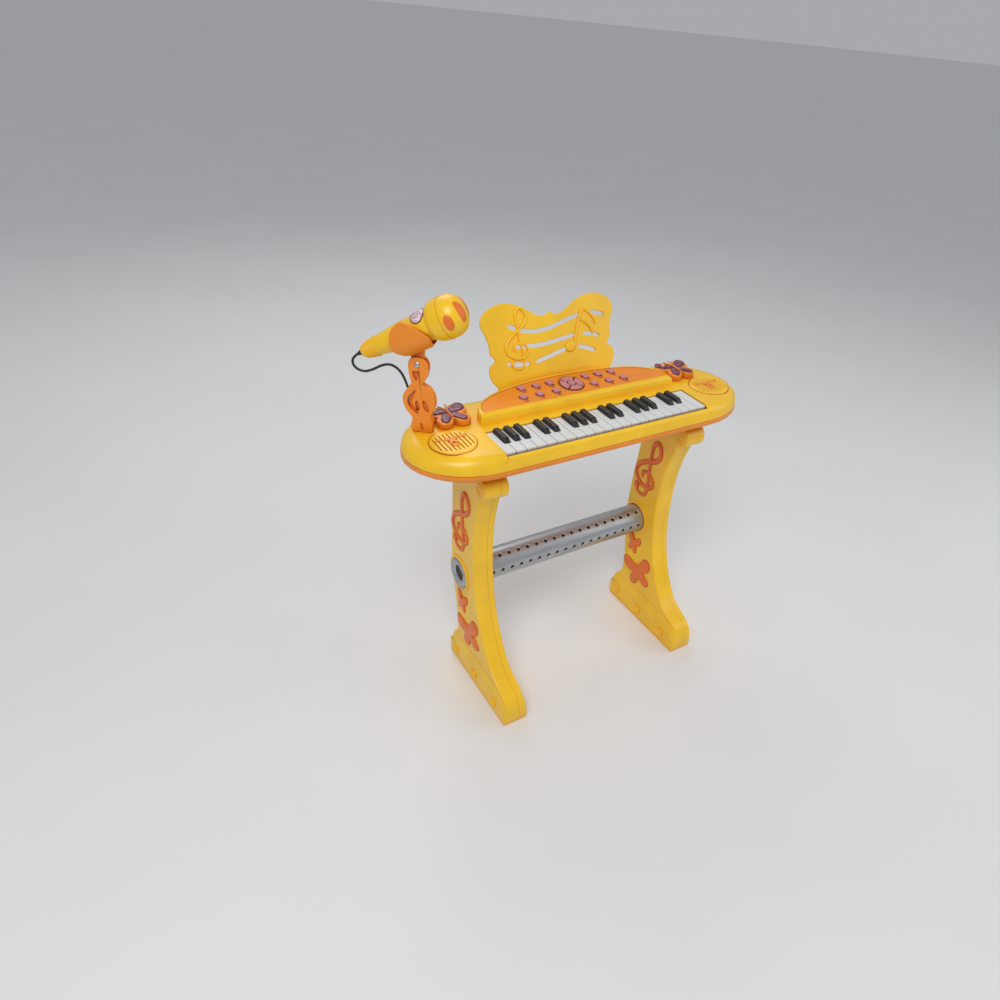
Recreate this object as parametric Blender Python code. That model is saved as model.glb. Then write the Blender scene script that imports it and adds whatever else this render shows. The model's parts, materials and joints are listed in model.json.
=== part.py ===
"""Toy electronic keyboard on two legs, with a music stand and a tethered microphone.

Metres, +Z up. The player stands on the -Y side, and +X is the player's right.
The origin is on the floor, in the middle of the object's plan.
"""
from math import cos, pi, radians, sin, tan

import bmesh
import bpy
from mathutils import Vector
from mathutils.geometry import interpolate_bezier

GAP = 0.0003            # clearance between pieces that touch
WALL = 0.002            # wall of the moulded case
CENTRE = Vector((0.0090, 0.0207, 0.0))  # moves the case's frame to the middle of the plan

# Keys
WHITE_KEYS = 22
KEY_PITCH = 0.0135
KEY_SLOT = 0.0005       # gap between two white keys
KEY_TOP = 0.402
KEY_FRONT = -0.075
KEY_BACK = -0.0252      # where the keys pass under the case
KEY_HINGE = (-0.008, 0.3965)  # Y and Z of the hinge line
KEY_THICK = 0.0085
KEY_TAIL_TOP = 0.3992
BLACK_WIDTH = 0.0076
BLACK_FRONT = -0.0550
BLACK_TOP = 0.4068
BLACK_AFTER = (0, 1, 2, 4, 5)  # steps of a seven-key group, from F, with a black key

# Case
CASE_STRAIGHT = 0.156   # half length of the straight front and back
CASE_END = 0.0865       # length of each elliptical end
CASE_Y = -0.0120
CASE_HALF_DEPTH = 0.0725
CASE_PARTING = 0.384
CASE_TOP = 0.4035
CASE_BOTTOM = 0.364
CASE_EDGE = 0.3775      # lower edge of the visible side
CASE_ROUND = 0.0140
END_ROUND = 0.0240      # the ends are domed more than the front and back
END_STEPS = 16
RAIL_TOP = 0.3975
OPENING_X = 0.1491
OPENING_Y = (-0.0757, -0.0249)

# Raised control housing
HOOD_HALF = 0.1455
HOOD_FRONT = -0.0095
HOOD_BACK = 0.0525
HOOD_Z = 0.4150         # its top at the front
HOOD_SLOPE = radians(6.0)
HOOD_STEPS = 24
PANEL_MARGIN = 0.0075
PANEL_THICK = 0.0018
PANEL_SUNK = 0.0006
PANEL_LEDGE = 0.003     # the rim under the panel's edge
MAT_TOP = -0.0034       # heights out of the panel's face
MAT_LOW = -0.0042
BOARD_TOP = -0.0056     # 0.2 mm below a mat that is pressed home
BOARD_THICK = 0.0014
BUTTON_RADIUS = 0.0052
BUTTON_RISE = 0.0014
BUTTON_ROOM = 0.0004    # clearance round a button
UPPER_ROW = (0.0275, 0.0475, 0.0686)  # distances of the buttons from the middle
LOWER_ROW = (0.0288, 0.0528, 0.0763)
ROW_UP = (0.0408, 0.0220)  # distances up the panel
DIAL_UP = 0.0312
DIAL_RADIUS = 0.0165
POWER_RADIUS = 0.0050

# Ornaments on the case
LAMP_AT = (0.173, 0.0195)
GRILLE_AT = (0.192, -0.0315)
GRILLE_RADIUS = 0.0270
GRILLE_RISE = 0.0016
LAMP_RISE = 0.0085

# Music stand
STAND_Y = 0.0540
STAND_LEAN = radians(20.0)
STAND_THICK = 0.0036
STAND_TAB = (0.045, 0.014, 0.009)  # distance from the middle, width, depth

# Legs and cross tube
LEG_OUT = 0.1686        # outer face of each leg
LEG_WIDTH = 0.030
COVER_WIDTH = 0.010     # the half on the player's right
FOOT_EXTRA = 0.0032     # the foot stands out this far on each side
LEG_TOP = 0.3637
TUBE_AT = (0.0073, 0.1773)
TUBE_RADIUS = 0.0215
TUBE_BORE = 0.0198
TUBE_HALF = 0.1722
SCROLL_AT = (-0.053, 0.3470)
SCROLL_RADIUS = 0.0142
LEG_SOCKET = (0.011, -0.022, 0.012)  # width of the tenon, then its Y limits

# Battery opening in the case's floor: X limits, then Y limits
BATTERY = (-0.045, 0.045, -0.030, 0.024)

# Microphone and its holder, in an upright plane turned to the player
MIC_PLANE = Vector((-0.208, 0.006, 0.0))
MIC_TURN = radians(-40.0)
HOLDER_THICK = 0.010
HOLDER_TENON = (-0.0090, 0.0030)  # its limits along the plane
TENON_HALF = 0.0030
PIN_AT = (-0.0045, 0.4825)
PIN_RADIUS = 0.0018
MIC_TAIL = (-0.0645, 0.4873)
MIC_PITCH = radians(27.2)
CORD_DIAMETER = 0.0028

WHITE = ((0.82, 0.83, 0.81), 0.35, 0.0)
BLACK = ((0.012, 0.012, 0.013), 0.22, 0.0)
YELLOW = ((0.93, 0.52, 0.03), 0.38, 0.0)
ORANGE = ((0.86, 0.27, 0.03), 0.40, 0.0)
PINK = ((0.72, 0.33, 0.35), 0.55, 0.0)
MAROON = ((0.25, 0.03, 0.09), 0.20, 0.0)
SILVER = ((0.45, 0.47, 0.49), 0.35, 0.6)
STEEL = ((0.55, 0.55, 0.56), 0.30, 1.0)
GREEN = ((0.02, 0.16, 0.06), 0.50, 0.0)
CORD = ((0.02, 0.022, 0.025), 0.55, 0.0)


# ---------------------------------------------------------------- helpers

def material(look):
    """Material with the colour, roughness and metallic value of one of the looks above."""
    colour, rough, metal = look
    name = "look_" + "_".join(f"{int(c * 100):03d}" for c in colour)
    found = bpy.data.materials.get(name)
    if found:
        return found
    made = bpy.data.materials.new(name)
    made.use_nodes = True
    shader = made.node_tree.nodes["Principled BSDF"]
    shader.inputs["Base Color"].default_value = (*colour, 1.0)
    shader.inputs["Roughness"].default_value = rough
    shader.inputs["Metallic"].default_value = metal
    return made


def link(name, mesh, look=None, at=None):
    """Object with this mesh, placed in the case's frame."""
    made = bpy.data.objects.new(name, mesh)
    bpy.context.scene.collection.objects.link(made)
    made.location = Vector(at or (0.0, 0.0, 0.0)) + CENTRE
    if look:
        mesh.materials.append(material(look))
    return made


def loft_mesh(name, rings):
    """Closed body through rings that have the same number of points."""
    work = bmesh.new()
    loops = [[work.verts.new(point) for point in ring] for ring in rings]
    for low, high in zip(loops, loops[1:]):
        for i, corner in enumerate(low):
            j = (i + 1) % len(low)
            work.faces.new((corner, low[j], high[j], high[i]))
    work.faces.new(loops[0][::-1])
    work.faces.new(loops[-1])
    bmesh.ops.recalc_face_normals(work, faces=work.faces)
    mesh = bpy.data.meshes.new(name)
    work.to_mesh(mesh)
    work.free()
    return mesh


def loft(name, rings, look=None, at=None):
    return link(name, loft_mesh(name, rings), look, at)


def flat(outline, z):
    return [Vector((x, y, z)) for x, y in outline]


def side(outline, x):
    """An outline in Y and Z, standing at one X."""
    return [Vector((x, y, z)) for y, z in outline]


def box(name, low, high, look=None):
    outline = [(low[0], low[1]), (high[0], low[1]), (high[0], high[1]), (low[0], high[1])]
    return loft(name, [flat(outline, low[2]), flat(outline, high[2])], look)


def turned(name, profile, steps, look=None, axis="Z", at=None):
    """Solid turned about an axis through `at`, from distances along it and radii."""
    rings = []
    for along, radius in profile:
        ring = []
        for i in range(steps):
            a = 2 * pi * i / steps
            u, v = radius * cos(a), radius * sin(a)
            ring.append(Vector((along, u, v)) if axis == "X" else Vector((u, v, along)))
        rings.append(ring)
    made = loft(name, rings, look, at)
    made.data.shade_smooth()
    made.data.set_sharp_from_angle(angle=radians(35))
    return made


def spline(points, steps, closed=True):
    """Smooth curve through 2-D points, `steps` points for each stretch."""
    count = len(points)
    out = []
    for i in range(count if closed else count - 1):
        p0, p1, p2, p3 = (Vector(points[(i + k) % count] if closed
                                 else points[min(max(i + k, 0), count - 1)]) for k in (-1, 0, 1, 2))
        knots = (p1, p1 + (p2 - p0) / 6, p2 - (p3 - p1) / 6, p2)
        out += interpolate_bezier(*(k.to_3d() if len(k) == 2 else k for k in knots), steps + 1)[:-1]
    if not closed:
        out.append(Vector(points[-1]).to_3d())
    return out


def outline_of(points, steps):
    return [(p.x, p.y) for p in spline(points, steps)]


def ellipse(middle, half, steps, turn=0.0):
    out = []
    for i in range(steps):
        a = 2 * pi * i / steps
        x, y = half[0] * cos(a), half[1] * sin(a)
        out.append((middle[0] + x * cos(turn) - y * sin(turn), middle[1] + x * sin(turn) + y * cos(turn)))
    return out


def boolean(target, tool, operation="DIFFERENCE"):
    """Cut or join with a hidden guide object."""
    tool.hide_render = True
    tool.display_type = "WIRE"
    step = target.modifiers.new(operation.lower(), "BOOLEAN")
    step.operation = operation
    step.object = tool


def cut(target, *tools):
    for tool in tools:
        boolean(target, tool)


def join(target, *tools):
    for tool in tools:
        boolean(target, tool, "UNION")


# ---------------------------------------------------------------- case

def case_outline(inset, end_inset=None):
    """Plan of the case: straight front and back, elliptical ends."""
    end_inset = inset if end_inset is None else end_inset
    out = []
    for way in (1, -1):
        for i in range(END_STEPS + 1):
            a = -pi / 2 + pi * i / END_STEPS
            out.append((way * (CASE_STRAIGHT + (CASE_END - end_inset) * cos(a)),
                        CASE_Y + way * (CASE_HALF_DEPTH - inset) * sin(a)))
    return out


def case_rings(inset, low, top):
    """Rings of the domed upper case, from `low` to `top`, this far inside its skin."""
    rings = [flat(case_outline(inset), low)]
    spring = CASE_PARTING + 0.005
    for i in range(5):
        a = pi / 2 * i / 4
        grow = 1 - cos(a)
        rings.append(flat(case_outline(inset + CASE_ROUND * grow, inset + END_ROUND * grow),
                          spring + (top - spring) * sin(a)))
    return rings


def hood_outline(inset):
    """Plan of the control housing: a straight front and an arched back."""
    half, depth = HOOD_HALF - inset, HOOD_BACK - HOOD_FRONT - 2 * inset
    return [(half * cos(pi * i / HOOD_STEPS), HOOD_FRONT + inset + depth * sin(pi * i / HOOD_STEPS) ** 0.8)
            for i in range(HOOD_STEPS + 1)]


def hood_height(y):
    return HOOD_Z + (y - HOOD_FRONT) * tan(HOOD_SLOPE)


def hood_ring(inset, drop):
    return [Vector((x, y, hood_height(y) - drop)) for x, y in hood_outline(inset)]


def on_panel(x, up, out=0.0):
    """Point of the panel: across, up its slope, and out of its face."""
    face = Vector((0.0, HOOD_FRONT, HOOD_Z - PANEL_SUNK))
    along = Vector((0.0, cos(HOOD_SLOPE), sin(HOOD_SLOPE)))
    normal = Vector((0.0, -sin(HOOD_SLOPE), cos(HOOD_SLOPE)))
    return face + Vector((x, 0.0, 0.0)) + up * along + out * normal


def panel_prism(name, outline, low, high, look=None):
    """Prism on the panel's slope from an outline in panel coordinates."""
    return loft(name, [[on_panel(x, up, out) for x, up in outline] for out in (low, high)], look)


def panel_outline(shrink):
    slope = cos(HOOD_SLOPE)
    return [(x, (y - HOOD_FRONT) / slope) for x, y in hood_outline(PANEL_MARGIN + shrink)]


def stand_point(u, v, w=0.0):
    """Point on the music stand: across, up its face, and behind its face."""
    up = Vector((0.0, sin(STAND_LEAN), cos(STAND_LEAN)))
    back = Vector((0.0, cos(STAND_LEAN), -sin(STAND_LEAN)))
    return Vector((u, STAND_Y, CASE_TOP)) + v * up + w * back


def tab_outline(way, slack):
    middle, width, depth = STAND_TAB
    low, high = way * middle - width / 2 - slack, way * middle + width / 2 + slack
    return low, high, depth


def mic_point(s, z, q=0.0):
    """Point in the microphone's upright plane: along it, its height, and behind it."""
    along = Vector((cos(MIC_TURN), sin(MIC_TURN), 0.0))
    behind = Vector((-sin(MIC_TURN), cos(MIC_TURN), 0.0))
    return MIC_PLANE + s * along + q * behind + Vector((0.0, 0.0, z))


def mic_prism(name, outline, low, high, look=None):
    return loft(name, [[mic_point(s, z, q) for s, z in outline] for q in (low, high)], look)


def upper_case():
    case = loft("upper_case", case_rings(0.0, CASE_PARTING + GAP, CASE_TOP), YELLOW)
    foot = hood_outline(0.0)
    hood = loft("hood_shape", [flat(foot, CASE_TOP - 0.001), flat(foot, CASE_TOP + 0.001),
                               hood_ring(0.0012, 0.0030), hood_ring(0.0028, 0.0010), hood_ring(0.0052, 0.0)])
    join(case, hood)
    for way in (1, -1):
        disc = ellipse((way * GRILLE_AT[0], GRILLE_AT[1]), (GRILLE_RADIUS, GRILLE_RADIUS), 32)
        small = ellipse((way * GRILLE_AT[0], GRILLE_AT[1]), (GRILLE_RADIUS - 0.0015,) * 2, 32)
        join(case, loft("grille_disc", [flat(disc, CASE_TOP - 0.003), flat(disc, CASE_TOP + 0.0004),
                                        flat(small, CASE_TOP + GRILLE_RISE)]))
    cavity = case_rings(WALL, CASE_PARTING - 0.005, CASE_TOP - WALL)
    cut(case, loft("cavity", cavity))
    cut(case, loft("hood_cavity", [flat(hood_outline(0.006), CASE_TOP - WALL - 0.001),
                                   hood_ring(0.006, 0.0050)]))
    join(case, box("rail", (-OPENING_X - 0.003, -CASE_HALF_DEPTH + CASE_Y + 0.001, CASE_PARTING + GAP),
                   (OPENING_X + 0.003, OPENING_Y[0], RAIL_TOP)))
    cut(case, box("rail_cut", (-OPENING_X, -0.1, RAIL_TOP), (OPENING_X, -0.06, CASE_TOP + 0.01)))
    cut(case, box("key_opening", (-OPENING_X, OPENING_Y[0], CASE_PARTING - 0.01),
                  (OPENING_X, OPENING_Y[1], CASE_TOP + 0.004)))
    cut(case, panel_prism("panel_opening", panel_outline(0.0), -PANEL_THICK - GAP, 0.01))
    cut(case, panel_prism("panel_window", panel_outline(PANEL_LEDGE), -0.02, 0.01))
    for way in (1, -1):
        low, high, depth = tab_outline(way, 0.0004)
        ring = [(low, -depth - 0.01), (high, -depth - 0.01), (high, 0.01), (low, 0.01)]
        cut(case, loft("stand_slot", [[stand_point(u, v, w) for u, v in ring]
                                      for w in (-0.0004, STAND_THICK + 0.0004)]))
        for i in range(9):
            x = way * GRILLE_AT[0] + 0.0050 * (i - 4)
            half = 0.74 * (GRILLE_RADIUS ** 2 - (x - way * GRILLE_AT[0]) ** 2) ** 0.5
            cut(case, box("grille_slot", (x - 0.0007, GRILLE_AT[1] - half, CASE_TOP - 0.01),
                          (x + 0.0007, GRILLE_AT[1] + half, CASE_TOP + 0.01)))
        hole = ellipse((way * LAMP_AT[0], LAMP_AT[1]), (0.0064, 0.0064), 16)
        cut(case, loft("lamp_hole", [flat(hole, CASE_TOP - 0.01), flat(hole, CASE_TOP + 0.01)]))
    low, high = HOLDER_TENON[0] - 0.0004, HOLDER_TENON[1] + 0.0004
    socket = [(low, 0.39), (high, 0.39), (high, 0.41), (low, 0.41)]
    cut(case, mic_prism("holder_socket", socket, -TENON_HALF - 0.0004, TENON_HALF + 0.0004))
    jack = turned("jack_hole", [(-0.02, 0.0042), (0.02, 0.0042)], 16,
                  at=(0.12, CASE_Y + CASE_HALF_DEPTH, 0.3915))
    jack.rotation_euler = (pi / 2, 0.0, 0.0)
    cut(case, jack)
    return case


def lower_case():
    lip = 0.0008
    half, front, back = LEG_SOCKET[0] / 2 + GAP, LEG_SOCKET[1] - GAP, LEG_SOCKET[2] + GAP
    rings = [flat(case_outline(0.024), CASE_BOTTOM), flat(case_outline(0.006), CASE_EDGE - 0.004),
             flat(case_outline(0.002), CASE_EDGE - 0.0008), flat(case_outline(-lip), CASE_EDGE + 0.0012),
             flat(case_outline(-lip), CASE_PARTING - 0.0006), flat(case_outline(0.0), CASE_PARTING)]
    case = loft("lower_case", rings, ORANGE)
    cut(case, loft("lower_cavity", [flat(case_outline(0.025), CASE_BOTTOM + 0.0025),
                                    flat(case_outline(0.0075), CASE_EDGE - 0.001),
                                    flat(case_outline(0.0022), CASE_EDGE + 0.002),
                                    flat(case_outline(0.0022), CASE_PARTING + 0.01)]))
    for way in (1, -1):
        middle = shell_middle(way)
        cut(case, box("tenon_hole", (middle - half, front, CASE_BOTTOM - 0.01),
                      (middle + half, back, CASE_BOTTOM + 0.01)))
    x0, x1, y0, y1 = BATTERY
    cut(case, box("battery_hole", (x0, y0, CASE_BOTTOM - 0.01), (x1, y1, CASE_BOTTOM + 0.01)))
    return case


def battery_cover():
    x0, x1, y0, y1 = BATTERY
    return box("battery_cover", (x0 + GAP, y0 + GAP, CASE_BOTTOM),
               (x1 - GAP, y1 - GAP, CASE_BOTTOM + 0.0022), ORANGE)


def circuit_board():
    """Board with the contacts, close under the button mats."""
    return panel_prism("circuit_board", panel_outline(PANEL_LEDGE - 0.0005),
                       BOARD_TOP - BOARD_THICK, BOARD_TOP, GREEN)


# ---------------------------------------------------------------- controls

def button_spots(way, row):
    reach = (UPPER_ROW, LOWER_ROW)[row]
    return [(way * x, ROW_UP[row]) for x in reach]


def control_panel():
    panel = panel_prism("control_panel", panel_outline(GAP), -PANEL_THICK, 0.0, ORANGE)
    for way in (1, -1):
        for row in (0, 1):
            for spot in button_spots(way, row):
                around = ellipse(spot, (BUTTON_RADIUS + BUTTON_ROOM,) * 2, 12)
                cut(panel, panel_prism("button_hole", around, -0.01, 0.01))
    around_dial = ellipse((0.0, DIAL_UP), (DIAL_RADIUS + BUTTON_ROOM,) * 2, 32)
    cut(panel, panel_prism("dial_hole", around_dial, -0.01, 0.01))
    return panel


def button_mat(name, way):
    """Soft mat with six buttons that come up through the panel."""
    outer = [(0.0840, 0.0155), (0.0840, 0.0300), (0.0735, 0.0455)]
    sheet = [(way * x, up) for x, up in [(0.0190, 0.0155), *outer, (0.0190, 0.0455)]]
    mat = panel_prism(name, sheet, MAT_LOW, MAT_TOP, PINK)
    for row in (0, 1):
        for spot in button_spots(way, row):
            join(mat, panel_prism("button", ellipse(spot, (BUTTON_RADIUS,) * 2, 12),
                                  (MAT_LOW + MAT_TOP) / 2, BUTTON_RISE))
    return mat


def mode_dial():
    ring = panel_prism("mode_dial", ellipse((0.0, DIAL_UP), (DIAL_RADIUS,) * 2, 32),
                       MAT_LOW + 0.0004, BUTTON_RISE, PINK)
    around_power = ellipse((0.0, DIAL_UP), (POWER_RADIUS + BUTTON_ROOM,) * 2, 24)
    cut(ring, panel_prism("dial_bore", around_power, -0.01, 0.01))
    return ring


def power_button():
    return panel_prism("power_button", ellipse((0.0, DIAL_UP), (POWER_RADIUS,) * 2, 24),
                       MAT_LOW, 0.0022, PINK)


# ---------------------------------------------------------------- keys

def white_key(number):
    """White key, with its origin on its hinge line and notches for its black neighbours."""
    x = (number - (WHITE_KEYS - 1) / 2) * KEY_PITCH
    half = (KEY_PITCH - KEY_SLOT) / 2
    y0, z0 = KEY_HINGE
    low = KEY_TOP - KEY_THICK - z0
    profile = [(KEY_FRONT - y0, low), (KEY_FRONT - y0, KEY_TOP - z0), (KEY_BACK - y0, KEY_TOP - z0),
               (KEY_BACK - y0, KEY_TAIL_TOP - z0), (0.002, KEY_TAIL_TOP - z0), (0.002, low)]
    key = loft(f"white_key_{number + 1:02d}", [side(profile, -half), side(profile, half)], WHITE, (x, y0, z0))
    reach = BLACK_WIDTH / 2 + 0.0004
    for way, step in ((1, number), (-1, number - 1)):
        if 0 <= step < WHITE_KEYS - 1 and step % 7 in BLACK_AFTER:
            edge = x + way * KEY_PITCH / 2
            cut(key, box("black_room", (edge - reach, BLACK_FRONT - 0.0005, KEY_TOP - 0.02),
                         (edge + reach, 0.01, KEY_TOP + 0.01)))
    return key


def black_key(number, step):
    x = (step + 1 - WHITE_KEYS / 2) * KEY_PITCH
    half = BLACK_WIDTH / 2
    y0, z0 = KEY_HINGE
    top, low = BLACK_TOP - z0, KEY_TOP - KEY_THICK - z0
    rings = []
    for x_in, drop in ((-half, 0.0012), (-half + 0.0012, 0.0), (half - 0.0012, 0.0), (half, 0.0012)):
        rings.append(side([(BLACK_FRONT - y0, low), (BLACK_FRONT - y0, KEY_TOP - 0.0004 - z0),
                           (BLACK_FRONT + 0.0045 - y0, top - drop), (KEY_BACK - y0, top - drop),
                           (KEY_BACK - y0, KEY_TAIL_TOP - z0), (0.002, KEY_TAIL_TOP - z0),
                           (0.002, low)], x_in))
    return loft(f"black_key_{number:02d}", rings, BLACK, (x, y0, z0))


def keys():
    for number in range(WHITE_KEYS):
        white_key(number)
    steps = [step for step in range(WHITE_KEYS - 1) if step % 7 in BLACK_AFTER]
    for number, step in enumerate(steps, 1):
        black_key(number, step)


# ---------------------------------------------------------------- ornaments

BUTTERFLY = ((0.0, -0.62), (0.16, -0.90), (0.52, -1.00), (0.78, -0.78), (0.80, -0.45), (0.66, -0.16),
             (0.92, 0.05), (1.00, 0.45), (0.86, 0.82), (0.50, 0.95), (0.18, 0.74), (0.0, 0.42))


def mirrored(half):
    """Right half of an outline, from its foot to its head, and its mirror image."""
    return list(half) + [(-u, v) for u, v in reversed(half[1:-1])]


def butterfly_lamp(name, way):
    middle = Vector((way * LAMP_AT[0], LAMP_AT[1], 0.0))
    wings = outline_of([(0.0255 * u, 0.0225 * v) for u, v in mirrored(BUTTERFLY)], 3)
    small = [(0.93 * x, 0.93 * y) for x, y in wings]
    rings = [flat(wings, CASE_TOP + GAP), flat(wings, CASE_TOP + LAMP_RISE - 0.001),
             flat(small, CASE_TOP + LAMP_RISE)]
    lamp = loft(name, rings, ORANGE, middle)
    join(lamp, turned("lamp_stem", [(CASE_TOP - 0.006, 0.006), (CASE_TOP + 0.003, 0.006)], 16, at=middle))
    return lamp


STAND_HALF = ((0.0, 0.0881), (0.0085, 0.0845), (0.0200, 0.0865), (0.0420, 0.0990), (0.0670, 0.1045),
              (0.0910, 0.0970), (0.0990, 0.0835), (0.0945, 0.0710), (0.0910, 0.0590), (0.0910, 0.0475),
              (0.0850, 0.0400), (0.0930, 0.0340), (0.0955, 0.0250), (0.0930, 0.0155), (0.0865, 0.0070))


def wave(points, half):
    """A band of this half width along a smooth line."""
    line = [(p.x, p.y) for p in spline(points, 3, closed=False)]
    left, right = [], []
    for i, (u, v) in enumerate(line):
        a, b = line[max(i - 1, 0)], line[min(i + 1, len(line) - 1)]
        run = Vector((b[0] - a[0], b[1] - a[1])).normalized()
        grow = half * (0.35 if i in (0, len(line) - 1) else 1.0)
        left.append((u - run.y * grow, v + run.x * grow))
        right.append((u + run.y * grow, v - run.x * grow))
    return left + right[::-1]


STAVES = (((-0.063, 0.0786), (-0.045, 0.0712), (-0.025, 0.0675), (0.0, 0.0694), (0.025, 0.0759),
           (0.046, 0.0805)),
          ((0.060, 0.0809), (0.072, 0.0795), (0.084, 0.0754)),
          ((-0.058, 0.0537), (-0.035, 0.0509), (-0.010, 0.0509), (0.015, 0.0537), (0.036, 0.0564)),
          ((0.048, 0.0564), (0.060, 0.0546), (0.074, 0.0504)),
          ((-0.070, 0.0338), (-0.052, 0.0305), (-0.036, 0.0296)),
          ((-0.028, 0.0305), (-0.008, 0.0342), (0.010, 0.0384), (0.022, 0.0407)),
          ((0.038, 0.0412), (0.052, 0.0379), (0.066, 0.0324)))


def music_stand():
    foot = (STAND_HALF[-1][0], 0.0004)
    curve = spline([(-u, v) for u, v in reversed(STAND_HALF[1:])] + list(STAND_HALF), 3, closed=False)
    outline = [(-foot[0], foot[1]), *((p.x, p.y) for p in curve), foot]
    lift = GAP + STAND_THICK * sin(STAND_LEAN) / cos(STAND_LEAN)
    stand = loft("music_stand", [[stand_point(u, v + lift, w) for u, v in outline]
                                 for w in (0.0, STAND_THICK)], YELLOW)
    for way in (1, -1):
        left, right, depth = tab_outline(way, 0.0)
        ring = [(left, -depth), (right, -depth), (right, lift + 0.006), (left, lift + 0.006)]
        join(stand, loft("stand_tab", [[stand_point(u, v, w) for u, v in ring]
                                       for w in (0.0002, STAND_THICK - 0.0002)]))
    for points in STAVES:
        band = wave(points, 0.0026)
        cut(stand, loft("stave", [[stand_point(u, v + lift, w) for u, v in band]
                                  for w in (-0.01, STAND_THICK + 0.01)]))
    return stand


# ---------------------------------------------------------------- legs

LEG_BACK = ((0.0365, 0.0), (0.0385, 0.012), (0.0385, 0.028), (0.0310, 0.046), (0.0210, 0.057),
            (0.0195, 0.078), (0.0235, 0.115), (0.0300, 0.155), (0.0335, 0.195), (0.0310, 0.250),
            (0.0265, 0.305), (0.0260, LEG_TOP))
LEG_FRONT = ((-0.0530, LEG_TOP), (-0.0500, 0.332), (-0.0430, 0.308), (-0.0360, 0.277), (-0.0335, 0.238),
             (-0.0355, 0.190), (-0.0440, 0.146), (-0.0610, 0.102), (-0.0840, 0.067), (-0.1060, 0.053),
             (-0.1220, 0.0455), (-0.1310, 0.035), (-0.1350, 0.018), (-0.1335, 0.0))
FOOT_LOW = ((0.0365, 0.0), (0.0385, 0.012), (0.0385, 0.027), (0.0200, 0.0300), (-0.0300, 0.0330),
            (-0.0800, 0.0350), (-0.1180, 0.0340), (-0.1290, 0.026), (-0.1340, 0.014), (-0.1335, 0.0))
FOOT_HIGH = ((0.0365, 0.0), (0.0385, 0.012), (0.0385, 0.028), (0.0290, 0.0490), (-0.0300, 0.0500),
             (-0.0800, 0.0500), (-0.1180, 0.0460), (-0.1310, 0.035), (-0.1350, 0.018), (-0.1335, 0.0))


def leg_outline():
    back = [(p.x, p.y) for p in spline(LEG_BACK, 2, closed=False)]
    front = [(p.x, p.y) for p in spline(LEG_FRONT, 2, closed=False)]
    return back + front


def leg_span(way):
    """Outer left face and outer right face of a leg, from the player's left."""
    inner = LEG_OUT - LEG_WIDTH
    return (inner, LEG_OUT) if way > 0 else (-LEG_OUT, -inner)


def shell_middle(way):
    left, right = leg_span(way)
    return (left + right - COVER_WIDTH) / 2


def foot_block(face, way_out, seam):
    """Foot between the seam and its chamfered outer side."""
    edge = face + way_out * FOOT_EXTRA
    return loft("foot", [side(FOOT_HIGH, seam), side(FOOT_HIGH, face), side(FOOT_LOW, edge)])


def leg_half(name, face, seam, pocket):
    """One moulded half of a leg: its skin is at `face`, and it opens at `seam`."""
    way_out = 1 if face > seam else -1
    outline = leg_outline()
    half = loft(name, [side(outline, seam), side(outline, face)], YELLOW)
    join(half, foot_block(face, way_out, seam))
    join(half, turned("scroll", [(min(seam, face + way_out * 0.001), SCROLL_RADIUS),
                                 (max(seam, face + way_out * 0.001), SCROLL_RADIUS)], 24,
                      axis="X", at=(0.0, *SCROLL_AT)))
    join(half, turned("tube_ring", [(min(seam, face + way_out * 0.002), TUBE_RADIUS + 0.0048),
                                    (max(seam, face + way_out * 0.002), TUBE_RADIUS + 0.0048)], 32,
                      axis="X", at=(0.0, *TUBE_AT)))
    for low, high, front, back in pocket:
        ring = [(front, low), (back, low), (back, high), (front, high)]
        cut(half, loft("pocket", [side(ring, seam - way_out * 0.01), side(ring, face - way_out * 0.003)]))
    cut(half, turned("tube_hole", [(min(seam, face) - 0.01, TUBE_RADIUS + GAP),
                                   (max(seam, face) + 0.01, TUBE_RADIUS + GAP)], 32,
                     axis="X", at=(0.0, *TUBE_AT)))
    return half


POCKETS = ((0.215, 0.340, -0.030, 0.022), (0.078, 0.140, -0.036, 0.013), (0.006, 0.030, -0.116, 0.030))


def legs():
    for word, way in (("left", -1), ("right", 1)):
        left, right = leg_span(way)
        seam = right - COVER_WIDTH
        shell = leg_half(f"{word}_leg_shell", left, seam, POCKETS)
        middle = shell_middle(way)
        join(shell, box("tenon", (middle - LEG_SOCKET[0] / 2, LEG_SOCKET[1], LEG_TOP - 0.01),
                        (middle + LEG_SOCKET[0] / 2, LEG_SOCKET[2], LEG_TOP + 0.010)))
        leg_half(f"{word}_leg_cover", right, seam + GAP, POCKETS)


def cross_tube():
    tube = turned("cross_tube", [(-TUBE_HALF, TUBE_RADIUS), (TUBE_HALF, TUBE_RADIUS)], 32, SILVER,
                  axis="X", at=(0.0, *TUBE_AT))
    cut(tube, turned("tube_bore", [(-TUBE_HALF - 0.01, TUBE_BORE), (TUBE_HALF + 0.01, TUBE_BORE)], 32,
                     axis="X", at=(0.0, *TUBE_AT)))
    return tube


# ---------------------------------------------------------------- microphone

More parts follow.
